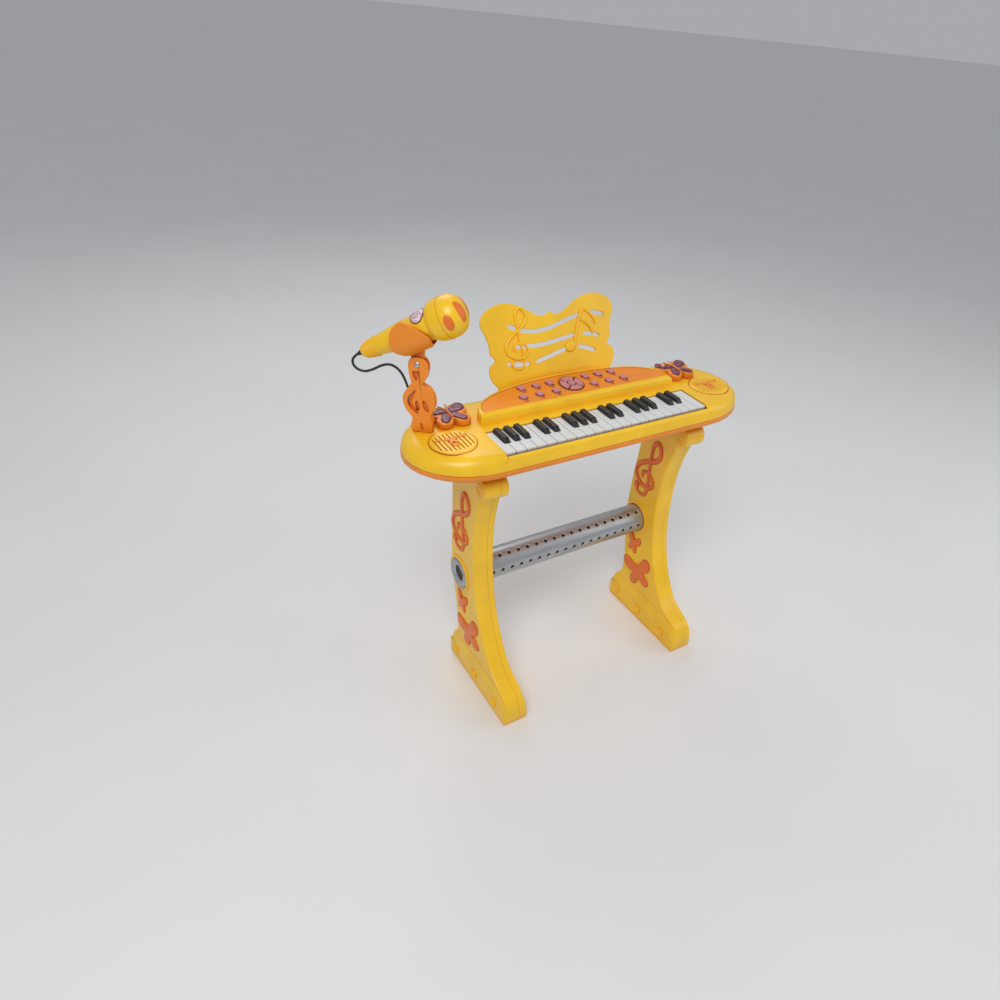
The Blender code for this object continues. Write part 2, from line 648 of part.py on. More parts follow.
HOLDER = ((-0.0148, 0.4035), (-0.0155, 0.4116), (-0.0135, 0.4205), (-0.0205, 0.4300), (-0.0232, 0.4435),
          (-0.0175, 0.4540), (-0.0122, 0.4595), (-0.0135, 0.4680), (-0.0147, 0.4790), (-0.0125, 0.4875),
          (-0.0045, 0.4905), (0.0040, 0.4880), (0.0072, 0.4810), (0.0055, 0.4690), (-0.0002, 0.4600),
          (0.0068, 0.4560), (0.0122, 0.4470), (0.0123, 0.4350), (0.0075, 0.4245), (0.0090, 0.4160),
          (0.0080, 0.4035))
CRESCENT = ((-0.0080, 0.4535), (-0.0135, 0.4485), (-0.0182, 0.4400), (-0.0145, 0.4310), (-0.0060, 0.4250),
            (-0.0090, 0.4320), (-0.0130, 0.4395), (-0.0105, 0.4460))
HEART = ((-0.0100, 0.4745), (-0.0055, 0.4750), (-0.0028, 0.4745), (-0.0040, 0.4690), (-0.0066, 0.4645),
         (-0.0094, 0.4690))


def mic_holder():
    bottom = CASE_TOP + GAP
    first, last = HOLDER[0], HOLDER[-1]
    curve = spline(HOLDER, 3, closed=False)
    outline = [(first[0], bottom)] + [(p.x, p.y) for p in curve[1:-1]] + [(last[0], bottom)]
    half = HOLDER_THICK / 2
    holder = mic_prism("mic_holder", outline, -half, half, ORANGE)
    low, high = HOLDER_TENON
    peg = [(low, 0.3970), (high, 0.3970), (high, 0.4080), (low, 0.4080)]
    join(holder, mic_prism("tenon", peg, -TENON_HALF, TENON_HALF))
    holes = (outline_of(CRESCENT, 3), ellipse((-0.0068, 0.4355), (0.0022, 0.0060), 14, radians(8)),
             ellipse((0.0025, 0.4355), (0.0030, 0.0072), 14, radians(20)), outline_of(HEART, 2),
             ellipse((-0.0030, 0.4100), (0.0013, 0.0048), 12, radians(10)))
    for ring in holes[:4]:
        cut(holder, mic_prism("holder_hole", ring, -0.02, 0.02))
    cut(holder, mic_prism("foot_slot", holes[4], -0.02, -0.0030))
    cut(holder, mic_prism("fork_room", [(-0.03, 0.4766), (0.02, 0.4766), (0.02, 0.51), (-0.03, 0.51)],
                          -0.0023, 0.0023))
    cut(holder, cylinder_across("pin_hole", PIN_AT, PIN_RADIUS + GAP, -0.02, 0.02, 16))
    return holder


def cylinder_across(name, at, radius, low, high, steps, look=None):
    """Cylinder square to the microphone's plane."""
    return mic_prism(name, ellipse(at, (radius, radius), steps), low, high, look)


def along_mic(a, b):
    """Point beside the microphone's axis: along it from the tail, and above it."""
    return (MIC_TAIL[0] + a * cos(MIC_PITCH) - b * sin(MIC_PITCH),
            MIC_TAIL[1] + a * sin(MIC_PITCH) + b * cos(MIC_PITCH))


def mic_ring(a, radius, steps):
    ring = []
    for i in range(steps):
        t = 2 * pi * i / steps
        s, z = along_mic(a, radius * cos(t))
        ring.append(mic_point(s, z, radius * sin(t)))
    return ring


def mic_turned(name, profile, steps, look=None):
    made = loft(name, [mic_ring(a, radius, steps) for a, radius in profile], look)
    made.data.shade_smooth()
    made.data.set_sharp_from_angle(angle=radians(40))
    return made


CRADLE_SIDE = ((0.0640, 0.0160), (0.0560, 0.0150), (0.0490, 0.0118), (0.0430, 0.0050), (0.0395, -0.0030),
               (0.0405, -0.0090), (0.0450, -0.0150), (0.0540, -0.0215), (0.0760, -0.0215), (0.0825, -0.0130),
               (0.0835, -0.0075), (0.0790, -0.0010), (0.0710, 0.0090))
CRADLE_WALL = 0.0022
CHANNEL = 0.0164        # half width inside the cradle
CHANNEL_LOW = -0.0030   # middle of its round floor
FAR_WALL_TOP = -0.0020  # the wall behind the microphone is the lower one
MIC_BODY = ((0.0, 0.0045), (0.0012, 0.0064), (0.012, 0.0090), (0.030, 0.0112), (0.052, 0.0140),
            (0.066, 0.0143), (0.075, 0.0150), (0.083, 0.0158), (0.0865, 0.0158))
MIC_HEAD = ((0.0868, 0.0156), (0.0895, 0.0190), (0.0950, 0.0209), (0.1040, 0.0216), (0.1130, 0.0206),
            (0.1200, 0.0168), (0.1245, 0.0100), (0.1260, 0.0030))


def channel_solid(name, radius, top):
    """Round-floored bar along the microphone, from behind the cradle to before it."""
    section = [(CHANNEL_LOW - radius * sin(pi * i / 16), radius * cos(pi * i / 16)) for i in range(17)]
    section = [(top, radius), *section, (top, -radius)]
    rings = []
    for a in (0.030, 0.095):
        rings.append([mic_point(*along_mic(a, b), q) for b, q in section])
    return loft(name, rings)


def mic_cradle():
    outline = [along_mic(a, b) for a, b in outline_of(CRADLE_SIDE, 3)]
    reach = CHANNEL + CRADLE_WALL
    cradle = mic_prism("mic_cradle", outline, -reach - 0.002, reach + 0.002, ORANGE)
    boolean(cradle, channel_solid("cradle_shape", reach, 0.030), "INTERSECT")
    cut(cradle, channel_solid("channel", CHANNEL, 0.040))
    above = ((0.02, FAR_WALL_TOP), (0.10, FAR_WALL_TOP), (0.10, 0.04), (0.02, 0.04))
    cut(cradle, mic_prism("far_wall_cut", [along_mic(a, b) for a, b in above], 0.0, 0.03))
    s, z = PIN_AT
    tongue = [(s - 0.0085, z + 0.0105), (s - 0.0070, z + 0.0060), (s - 0.0035, z - 0.0020), (s, z - 0.0042),
              (s + 0.0035, z - 0.0020), (s + 0.0070, z + 0.0060), (s + 0.0085, z + 0.0165)]
    join(cradle, mic_prism("tongue", tongue, -0.0019, 0.0019))
    cut(cradle, cylinder_across("tongue_hole", PIN_AT, PIN_RADIUS + GAP, -0.02, 0.02, 16))
    return cradle


# Free route, then a quarter turn of 7 mm radius into the back of the holder's foot
CORD_ROUTE = ((-0.0648, 0.4871, 0.0), (-0.0690, 0.4850, 0.0), (-0.0738, 0.4815, 0.0002),
              (-0.0774, 0.4765, 0.0005), (-0.0774, 0.4708, 0.0009), (-0.0732, 0.4662, 0.0015),
              (-0.0655, 0.4646, 0.0022),
              (-0.0571, 0.4672, 0.0035), (-0.0480, 0.4718, 0.0055), (-0.0394, 0.4736, 0.0072),
              (-0.0320, 0.4700, 0.0088), (-0.0264, 0.4625, 0.0100), (-0.0227, 0.4520, 0.0108),
              (-0.0200, 0.4400, 0.0118), (-0.0174, 0.4300, 0.0125), (-0.0156, 0.4230, 0.0126),
              (-0.0146, 0.4190, 0.0117), (-0.0139, 0.4166, 0.0090), (-0.0137, 0.4157, 0.0053))


def mic_cord():
    """Cord from the tail of the microphone, in one free loop, to the foot of the holder."""
    route = [mic_point(*point) for point in CORD_ROUTE]
    points = spline(route, 2, closed=False)
    curve = bpy.data.curves.new("mic_cord", "CURVE")
    curve.dimensions = "3D"
    curve.bevel_depth = CORD_DIAMETER / 2
    curve.bevel_resolution = 2
    curve.use_fill_caps = True
    line = curve.splines.new("POLY")
    line.points.add(len(points) - 1)
    for knot, point in zip(line.points, points):
        knot.co = (*point, 1.0)
    return link("mic_cord", curve, CORD)


def microphone():
    mic_turned("mic_body", MIC_BODY, 24, YELLOW)
    mic_turned("mic_head", MIC_HEAD, 24, YELLOW)
    mic_cradle()
    cylinder_across("cradle_pin", PIN_AT, PIN_RADIUS, -HOLDER_THICK / 2, HOLDER_THICK / 2, 16, STEEL)


def build():
    for old in list(bpy.data.objects):
        bpy.data.objects.remove(old, do_unlink=True)
    upper_case()
    lower_case()
    battery_cover()
    circuit_board()
    control_panel()
    power_button()
    mode_dial()
    button_mat("left_button_mat", -1)
    button_mat("right_button_mat", 1)
    keys()
    butterfly_lamp("left_lamp", -1)
    butterfly_lamp("right_lamp", 1)
    music_stand()
    legs()
    cross_tube()
    mic_holder()
    microphone()
    mic_cord()


build()
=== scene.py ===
"""Looks of the toy electronic keyboard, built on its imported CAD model.

Metres, +Z up, in the model's own frame. Places are given in the case's frame, whose origin is ORIGIN.
"""
import json
from math import cos, pi, radians, sin, tan

import bmesh
import bpy
from mathutils import Matrix, Vector
from mathutils.geometry import interpolate_bezier

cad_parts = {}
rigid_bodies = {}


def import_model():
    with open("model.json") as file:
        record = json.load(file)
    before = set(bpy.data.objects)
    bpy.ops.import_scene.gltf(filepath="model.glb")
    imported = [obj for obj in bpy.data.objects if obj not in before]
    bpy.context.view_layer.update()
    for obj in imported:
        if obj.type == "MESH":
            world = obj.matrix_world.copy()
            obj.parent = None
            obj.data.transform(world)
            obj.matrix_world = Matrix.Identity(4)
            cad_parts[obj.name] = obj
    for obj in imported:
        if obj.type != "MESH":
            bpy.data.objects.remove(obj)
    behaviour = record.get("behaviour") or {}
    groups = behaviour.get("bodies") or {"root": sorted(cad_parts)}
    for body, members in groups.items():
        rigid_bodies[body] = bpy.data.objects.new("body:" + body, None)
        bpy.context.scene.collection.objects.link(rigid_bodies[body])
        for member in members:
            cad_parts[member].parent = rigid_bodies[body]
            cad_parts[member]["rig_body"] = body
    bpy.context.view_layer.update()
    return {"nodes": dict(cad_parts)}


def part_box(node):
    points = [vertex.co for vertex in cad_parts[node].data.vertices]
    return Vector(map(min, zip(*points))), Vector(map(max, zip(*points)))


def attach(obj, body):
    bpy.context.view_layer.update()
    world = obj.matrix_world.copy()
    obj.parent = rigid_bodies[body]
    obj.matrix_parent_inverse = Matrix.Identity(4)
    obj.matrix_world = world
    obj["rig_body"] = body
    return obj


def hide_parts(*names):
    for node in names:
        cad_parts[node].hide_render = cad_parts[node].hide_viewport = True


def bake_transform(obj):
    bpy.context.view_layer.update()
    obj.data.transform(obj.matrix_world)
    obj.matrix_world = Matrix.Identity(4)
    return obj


for old in list(bpy.data.objects):
    bpy.data.objects.remove(old, do_unlink=True)
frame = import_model()
NODES = frame["nodes"]

SIDES = (("left", -1), ("right", 1))

# Cross tube: its Y and Z, which place the case's frame in the model's, and its holes and end plugs
TUBE_AT = (0.0073, 0.1773)
TUBE_LOW, TUBE_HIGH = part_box("cross_tube")
TUBE_MIDDLE = (TUBE_LOW + TUBE_HIGH) / 2
ORIGIN = Vector((TUBE_MIDDLE.x, TUBE_MIDDLE.y - TUBE_AT[0], 0.0))
TUBE_RADIUS = (TUBE_HIGH.z - TUBE_LOW.z) / 2
TUBE_HALF = (TUBE_HIGH.x - TUBE_LOW.x) / 2
TUBE_BORE = 0.0198
HOLE_ROWS = 6
HOLE_COLUMNS = 22
HOLE_PITCH = 0.0150
HOLE_RADIUS = 0.0028
PLUG_RINGS = ((-0.012, TUBE_BORE - 0.0002, 48), (-0.0006, TUBE_BORE - 0.0002, 48),
              (0.0, TUBE_BORE - 0.0008, 48), (-0.0004, 0.0172, 6), (-0.0026, 0.0130, 6),
              (-0.0030, 0.0128, 6))  # distance past the tube's end, radius and number of sides
# Dark floor of each plug's socket, painted shade: distance out and radius
SOCKET_PROFILE = ((0.0, 0.0130), (0.0004, 0.0128), (0.0004, 0.0040), (0.0003, 0.0020))

# Case, hood and panel
CASE_TOP = 0.4035
CASE_BOTTOM = 0.364
RAIL_TOP = 0.3975
RAIL_Y = -0.0798
RAIL_HALF = 0.1485
ROLL_HALF = 0.0036
ROLL_HEIGHT = 0.0021
HOOD_HALF = 0.1455
HOOD_FRONT = -0.0095
HOOD_BACK = 0.0525
HOOD_Z = 0.4150
HOOD_SLOPE = radians(6.0)
PANEL_MARGIN = 0.0075
PANEL_SUNK = 0.0006
MAT_TOP = -0.0034
MAT_LOW = -0.0042
MAT_PRESS = 0.0012
CAP_CLEAR = 0.0003
CAP_HEIGHT = 0.0011
MAT_OUTLINE = ((0.0190, 0.0155), (0.0840, 0.0155), (0.0840, 0.0300), (0.0735, 0.0455), (0.0190, 0.0455))
BUTTON_RADIUS = 0.0052
BUTTON_ROWS = ((0.0275, 0.0475, 0.0686), (0.0288, 0.0528, 0.0763))
ROW_UP = (0.0408, 0.0220)
DASH_DROP = 0.0086
DASH_HALF = 0.0034
EDGE_HEIGHT = 0.0002
LED_AT = (-0.0400, 0.0118)
LED_RADII = (0.0012, 0.0026)
DIAL_UP = 0.0312
DIAL_RADIUS = 0.0165
POWER_RADIUS = 0.0050
SECTOR_GAP = radians(9)
LAMP_AT = (0.173, 0.0195)
LAMP_RISE = 0.0085
LAMP_HALF = (0.0255, 0.0225)
LENS_HEIGHT = 0.0014
# Painted highlight on each lamp's lens: centre and half sizes
HIGHLIGHT_AT = (-0.0135, 0.0112)
HIGHLIGHT_HALF = (0.0036, 0.0026)
GRILLE_AT = (0.192, -0.0315)
GRILLE_RADIUS = 0.0270
GRILLE_RISE = 0.0016
CLOTH_RADIUS = 0.0235
CLOTH_DROP = 0.0045
INLET_AT = (0.12, 0.0605, 0.3915)
INLET_PROFILE = ((0.0, 0.0040), (0.0, 0.0026), (0.0100, 0.0026), (0.0101, 0.0010), (0.0022, 0.0010),
                 (0.0018, 0.0004), (0.0102, 0.0003), (0.0110, 0.0040))
SCREWS_X = (-0.19, -0.09, 0.09, 0.19)
SCREWS_Y = (-0.045, 0.025)
SCREW_RADIUS = 0.0034
COVER_SCREW_Y = 0.018
COVER_SCREW_RADIUS = 0.0030
RIDGES = 9
RIDGE_FIRST = -0.024
RIDGE_PITCH = 0.004

# Music stand
STAND_Y = 0.0540
STAND_LEAN = radians(20.0)
STAND_THICK = 0.0036
STAND_LIFT = 0.0003 + STAND_THICK * tan(STAND_LEAN)
NOTE_HEAD_AT = (0.0262, 0.0428)
NOTE_HEAD_HALF = (0.0082, 0.0066)
NOTE_STEM = ((0.0325, 0.0440), (0.0372, 0.0600), (0.0425, 0.0745), (0.0490, 0.0870))
FLAG_DROPS = (0.0, 0.0125)

# Legs: outlines are (Y, Z)
LEG_OUT = 0.1686
LEG_WIDTH = 0.030
COVER_WIDTH = 0.010
LEG_TOP = 0.3637
LEG_ROUND = 0.0030
FOOT_EXTRA = 0.0032
SCROLL_AT = (-0.053, 0.3470)
SCROLL_RADIUS = 0.0142
CURL_START = 0.0016
CURL_GROWTH = 0.0098
CURL_STEPS = 28
RING_WIDTH = 0.0048
RING_ROOM = 0.0004
BOSSES_AT = ((0.0212, 0.0159), (-0.0395, 0.0185), (-0.1000, 0.0180))
BOSS_PROFILE = ((-0.001, 0.0076), (0.0016, 0.0076), (0.0023, 0.0070), (0.0024, 0.0054), (0.0012, 0.0046),
                (0.0010, 0.0004))
SEAM = 0.0003
LEG_BACK = ((0.0365, 0.0), (0.0385, 0.012), (0.0385, 0.028), (0.0310, 0.046), (0.0210, 0.057),
            (0.0195, 0.078), (0.0235, 0.115), (0.0300, 0.155), (0.0335, 0.195), (0.0310, 0.250),
            (0.0265, 0.305), (0.0260, LEG_TOP))
LEG_FRONT = ((-0.0530, LEG_TOP), (-0.0500, 0.332), (-0.0430, 0.308), (-0.0360, 0.277), (-0.0335, 0.238),
             (-0.0355, 0.190), (-0.0440, 0.146), (-0.0610, 0.102), (-0.0840, 0.067), (-0.1060, 0.053),
             (-0.1220, 0.0455), (-0.1310, 0.035), (-0.1350, 0.018), (-0.1335, 0.0))
FOOT_LOW = ((0.0365, 0.0), (0.0385, 0.012), (0.0385, 0.027), (0.0200, 0.0300), (-0.0300, 0.0330),
            (-0.0800, 0.0350), (-0.1180, 0.0340), (-0.1290, 0.026), (-0.1340, 0.014), (-0.1335, 0.0))
FOOT_HIGH = ((0.0365, 0.0), (0.0385, 0.012), (0.0385, 0.028), (0.0290, 0.0490), (-0.0300, 0.0500),
             (-0.0800, 0.0500), (-0.1180, 0.0460), (-0.1310, 0.035), (-0.1350, 0.018), (-0.1335, 0.0))

# Microphone: profiles are (distance from its tail, radius)
MIC_PLANE = Vector((-0.208, 0.006, 0.0))
MIC_TURN = radians(-40.0)
MIC_TAIL = (-0.0645, 0.4873)
MIC_PITCH = radians(27.2)
HOLDER_THICK = 0.010
WEB_HALF = 0.0026
PIN_AT = (-0.0045, 0.4825)
PIN_HEAD = ((-0.0002, 0.0029), (0.0005, 0.0029), (0.0011, 0.0022), (0.0013, 0.0008))
MIC_BODY = ((0.0, 0.0045), (0.0012, 0.0064), (0.012, 0.0090), (0.030, 0.0112), (0.052, 0.0140),
            (0.066, 0.0143), (0.075, 0.0150), (0.083, 0.0158), (0.0865, 0.0158))
MIC_HEAD = ((0.0868, 0.0156), (0.0895, 0.0190), (0.0950, 0.0209), (0.1040, 0.0216), (0.1130, 0.0206),
            (0.1200, 0.0168), (0.1245, 0.0100), (0.1260, 0.0030))
MIC_COLLAR = ((0.0870, 0.0160), (0.0876, 0.0178), (0.0888, 0.0184), (0.0900, 0.0180), (0.0904, 0.0170))
MIC_SEAMS = (0.0866, 0.1035)
MIC_WIDEST = 0.104
RIBS = 5
RIB_FIRST = 0.0042
RIB_PITCH = 0.0034
NECK_RADIUS = 0.0155
PAD_AT = 0.0780
PAD_TURN = radians(22)

# Cord of the microphone: the route's points are (along, height, behind) in the upright plane
CORD_DIAMETER = 0.0028
CORD_ROUTE = ((-0.0648, 0.4871, 0.0), (-0.0690, 0.4850, 0.0), (-0.0738, 0.4815, 0.0002),
              (-0.0774, 0.4765, 0.0005), (-0.0774, 0.4708, 0.0009), (-0.0732, 0.4662, 0.0015),
              (-0.0655, 0.4646, 0.0022), (-0.0571, 0.4672, 0.0035), (-0.0480, 0.4718, 0.0055),
              (-0.0394, 0.4736, 0.0072), (-0.0320, 0.4700, 0.0088), (-0.0264, 0.4625, 0.0100),
              (-0.0227, 0.4520, 0.0108), (-0.0200, 0.4400, 0.0118), (-0.0174, 0.4300, 0.0125),
              (-0.0156, 0.4230, 0.0126), (-0.0146, 0.4190, 0.0117), (-0.0139, 0.4166, 0.0090),
              (-0.0137, 0.4157, 0.0053))
CORD_SPLIT = 6  # the route's point where the cord's two stretches meet

# Camera and light
CAMERA_AT = (-0.47321, -0.63496, 0.78366)
CAMERA_TURN = radians(-36.201)
CAMERA_HEIGHT = radians(39.848)
CAMERA_ROLL = radians(5.857)
CAMERA_LENS = 24.536
CAMERA_SHIFT = (-0.060, 0.080)
LIGHT_AIM = (0.0, 0.0, 0.35)
LIGHTS = (("key_light", (-0.9, -1.0, 1.9), 1.1, 20.0),
          ("fill_light", (1.5, -0.9, 1.1), 1.4, 6.0),
          ("back_light", (0.2, 1.4, 1.7), 1.2, 8.0))
SKY = (0.93, 0.95, 1.0, 1.0)
SKY_STRENGTH = 0.42
FLOOR_RADIUS = 80.0

# Colours, linear
YELLOW = (0.94, 0.56, 0.012)
# YELLOW_SHADE, ORANGE_SHADE and KEY_SHADE are painted shade for corners and the gaps between keys;
# ORANGE_SHADE also colours the painted shade lines at edges
YELLOW_SHADE = (0.86, 0.27, 0.006)
ORANGE = (0.88, 0.265, 0.012)
ORANGE_SHADE = (0.52, 0.085, 0.008)
DEEP = (0.80, 0.165, 0.018)
WHITE = (0.72, 0.73, 0.72)
BLACK = (0.010, 0.010, 0.011)
PINK = (0.60, 0.24, 0.25)
MAROON = (0.10, 0.010, 0.030)
LENS_PINK = (0.52, 0.13, 0.20)
SILVER = (0.42, 0.44, 0.46)
STEEL = (0.52, 0.52, 0.53)
DARK = (0.020, 0.012, 0.010)
RUBBER = (0.020, 0.023, 0.026)
PALE = (0.86, 0.83, 0.82)
BOARD = (0.02, 0.14, 0.05)
FLOOR = (0.80, 0.80, 0.79)
KEY_SHADE = (0.05, 0.05, 0.055)
# Painted shade: how much of the corner colour ambient occlusion mixes in
PAINTED_SHADE_RANGE = {"From Min": 0.35, "From Max": 0.85, "To Min": 0.75, "To Max": 0.0}
ROUGH_SPREAD = 0.08


# ---------------------------------------------------------------- materials

def node(tree, kind, **values):
    """Shader node with these properties, or values on the inputs of those names."""
    made = tree.nodes.new("ShaderNode" + kind)
    for key, value in values.items():
        if key in made.inputs:
            made.inputs[key].default_value = value
        else:
            setattr(made, key, value)
    return made


def noise(tree, scale, detail=3.0, stretch=(1.0, 1.0, 1.0)):
    """Noise in object coordinates, which are metres."""
    place = node(tree, "TexCoord")
    spread = node(tree, "Mapping", Scale=stretch)
    tree.links.new(place.outputs["Object"], spread.inputs["Vector"])
    made = node(tree, "TexNoise", Scale=scale, Detail=detail)
    tree.links.new(spread.outputs["Vector"], made.inputs["Vector"])
    return made.outputs["Fac"]


def ramp(tree, factor, *stops):
    """Colour ramp from (position, colour) stops."""
    made = node(tree, "ValToRGB")
    while len(made.color_ramp.elements) < len(stops):
        made.color_ramp.elements.new(0.5)
    for element, (position, colour) in zip(made.color_ramp.elements, stops):
        element.position = position
        element.color = (*colour, 1.0)
    tree.links.new(factor, made.inputs["Fac"])
    return made.outputs["Color"]


def scaled(colour, factor):
    return tuple(min(1.0, c * factor) for c in colour)


def mix(tree, factor, first, second):
    made = tree.nodes.new("ShaderNodeMix")
    made.data_type = "RGBA"
    tree.links.new(factor, made.inputs[0])
    tree.links.new(first, made.inputs[6])
    made.inputs[7].default_value = (*second, 1.0)
    return made.outputs[2]


def surface(name, colour, rough, spread=0.07, cloud=25.0, grain=1400.0, bump=0.12, corner_shade=None,
            reach=0.014, stops=None, stretch=(1.0, 1.0, 1.0), **sockets):
    """Material with colour variation, a fine bump and varied roughness.

    The corner colour is painted shade, which ambient occlusion mixes into corners and gaps up to `reach`
    wide, and `stops` replaces the two tones.
    """
    made = bpy.data.materials.new(name)
    made.use_nodes = True
    tree = made.node_tree
    shader = tree.nodes["Principled BSDF"]
    tones = stops or ((0.30, scaled(colour, 1 - spread)), (0.70, scaled(colour, 1 + spread)))
    tint = ramp(tree, noise(tree, cloud, 4.0, stretch), *tones)
    # Painted shade: ambient occlusion mixes the corner colour into corners and gaps
    if corner_shade:
        corner = node(tree, "AmbientOcclusion", Distance=reach, samples=6)
        depth = node(tree, "MapRange", **PAINTED_SHADE_RANGE)
        tree.links.new(corner.outputs["AO"], depth.inputs["Value"])
        tint = mix(tree, depth.outputs["Result"], tint, corner_shade)
    tree.links.new(tint, shader.inputs["Base Color"])
    low = max(0.02, rough - ROUGH_SPREAD)
    rub = node(tree, "MapRange", **{"To Min": low, "To Max": rough + ROUGH_SPREAD})
    tree.links.new(noise(tree, cloud * 6, 5.0, stretch), rub.inputs["Value"])
    tree.links.new(rub.outputs["Result"], shader.inputs["Roughness"])
    relief = node(tree, "Bump", Strength=bump, Distance=0.0003)
    tree.links.new(noise(tree, grain, 2.0, stretch), relief.inputs["Height"])
    tree.links.new(relief.outputs["Normal"], shader.inputs["Normal"])
    for socket, value in sockets.items():
        shader.inputs[socket.replace("_", " ")].default_value = value
    return made


# The yellow, orange, deep orange and white looks get painted shade in their corners, and the white keys
# also in the gaps between them
LOOKS = {
    "yellow": surface("moulded_yellow", YELLOW, 0.34, corner_shade=YELLOW_SHADE, Coat_Weight=0.12),
    "orange": surface("moulded_orange", ORANGE, 0.36, corner_shade=ORANGE_SHADE, Coat_Weight=0.10),
    "deep": surface("moulded_deep_orange", DEEP, 0.38, corner_shade=ORANGE_SHADE),
    "white": surface("key_white", WHITE, 0.30, spread=0.03, cloud=18.0, corner_shade=KEY_SHADE, reach=0.0035,
                     Coat_Weight=0.2),
    "black": surface("key_black", BLACK, 0.38, spread=0.3, bump=0.05),
    "pink": surface("button_silicone", PINK, 0.52, spread=0.09, grain=2200.0, bump=0.2),
    "maroon": surface("lens_maroon", MAROON, 0.34, spread=0.4, cloud=90.0, bump=0.05),
    "lens": surface("lens_petal", LENS_PINK, 0.32, cloud=260.0, bump=0.06, Coat_Weight=0.1,
                    stops=((0.44, MAROON), (0.50, LENS_PINK), (0.55, MAROON), (0.62, scaled(MAROON, 0.6)))),
    # Painted shade: dark lines at the panel's inner edge, round the buttons, round the grilles and round
    # the leg reliefs
    "shade": surface("painted_edge_shade", ORANGE_SHADE, 0.45, spread=0.12),
    "silver": surface("tube_silver", SILVER, 0.34, spread=0.10, cloud=30.0, bump=0.06,
                      stretch=(1.0, 6.0, 6.0), Metallic=0.75),
    "steel": surface("pin_steel", STEEL, 0.26, spread=0.12, cloud=120.0, Metallic=1.0),
    # Dark look: the printed marks, the power socket and the speaker cloth, and painted shade on the floors
    # of the tube's sockets
    "dark": surface("dark_parts_and_painted_recess_shade", DARK, 0.60, spread=0.3),
    "pale": surface("decal_pale", PALE, 0.28, cloud=340.0, bump=0.04,
                    stops=((0.42, PALE), (0.50, LENS_PINK), (0.56, PALE), (0.66, MAROON))),
    "board": surface("board_laminate", BOARD, 0.45, spread=0.15, cloud=60.0),
    "rubber": surface("cord_rubber", RUBBER, 0.50, spread=0.25, cloud=120.0, grain=2600.0, bump=0.25),
    "floor": surface("floor_paper", FLOOR, 0.75, spread=0.015, cloud=3.0, grain=500.0, bump=0.05),
}


# ---------------------------------------------------------------- meshes

def emit(work, name, look, body=None, sharp=38.0):
    """Object from this work, shaded smooth but for its sharp edges, riding on a CAD body."""
    bmesh.ops.recalc_face_normals(work, faces=work.faces)
    mesh = bpy.data.meshes.new(name)
    work.to_mesh(mesh)
    work.free()
    mesh.materials.append(LOOKS[look])
    mesh.shade_smooth()
    mesh.set_sharp_from_angle(angle=radians(sharp))
    made = bpy.data.objects.new(name, mesh)
    bpy.context.scene.collection.objects.link(made)
    if body:
        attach(made, body)
    return made


def skin(work, rings, caps=True):
    """Surface through rings that have the same number of points."""
    loops = [[work.verts.new(point) for point in ring] for ring in rings]
    for low, high in zip(loops, loops[1:]):
        for i, corner in enumerate(low):
            j = (i + 1) % len(low)
            work.faces.new((corner, low[j], high[j], high[i]))
    if caps:
        work.faces.new(loops[0][::-1])
        work.faces.new(loops[-1])
    bmesh.ops.remove_doubles(work, verts=[corner for loop in loops for corner in loop], dist=1e-6)


def spline(points, steps, closed=False):
    """Smooth curve through points, `steps` points for each stretch."""
    count = len(points)
    out = []
    for i in range(count if closed else count - 1):
        near = [(i + k) % count if closed else min(max(i + k, 0), count - 1) for k in (-1, 0, 1, 2)]
        p0, p1, p2, p3 = (Vector(points[k]).to_3d() for k in near)
        out += interpolate_bezier(p1, p1 + (p2 - p0) / 6, p2 - (p3 - p1) / 6, p2, steps + 1)[:-1]
    if not closed:
        out.append(Vector(points[-1]).to_3d())
    return out


def ribbon(work, place, points, half, height, steps=4, closed=False, taper=0.45, sink=0.0005):
    """Half-round ridge along a smooth line on a surface, thinner towards its ends."""
    line = spline(points, steps, closed)
    count = len(line)
    rings = []
    for i, knot in enumerate(line):
        if closed:
            run = line[(i + 1) % count] - line[i - 1]
        else:
            run = line[min(i + 1, count - 1)] - line[max(i - 1, 0)]
        across = Vector((-run.y, run.x, 0.0)).normalized()
        swell = 1.0 if closed else taper + (1 - taper) * sin(pi * i / (count - 1)) ** 0.6
        ring = []
        for k in range(9):
            a = pi * k / 8
            spot = knot + across * half * swell * cos(a)
            ring.append(place(spot.x, spot.y, height * swell * sin(a)))
        left, right = knot - across * half * swell, knot + across * half * swell
        rings.append([place(right.x, right.y, -sink), *ring, place(left.x, left.y, -sink)])
    if closed:
        rings.append(rings[0])
    skin(work, rings, caps=not closed)


DOME = ((1.0, 0.10), (0.975, 0.45), (0.92, 0.72), (0.82, 0.88), (0.66, 0.96), (0.40, 1.0), (0.15, 1.0))
FLAT = ((1.0, 0.6), (0.99, 1.0), (0.60, 1.0))


def pillow(work, place, outline, height, sink=0.0006, profile=DOME):
    """Domed relief from an outline on a surface."""
    cu = sum(u for u, v in outline) / len(outline)
    cv = sum(v for u, v in outline) / len(outline)
    rings = [[place(u, v, -sink) for u, v in outline]]
    for size, lift in profile:
        rings.append([place(cu + size * (u - cu), cv + size * (v - cv), lift * height)
                      for u, v in outline])
    skin(work, rings)


def turned(work, start, axis, profile, steps=32):
    """Body turned about an axis, from (distance along it, radius) pairs."""
    axis = Vector(axis).normalized()
    u = axis.orthogonal().normalized()
    v = axis.cross(u)
    rings = []
    for along, radius in profile:
        rings.append([Vector(start) + axis * along + radius * (cos(2 * pi * i / steps) * u
                                                               + sin(2 * pi * i / steps) * v)
                      for i in range(steps)])
    skin(work, rings)


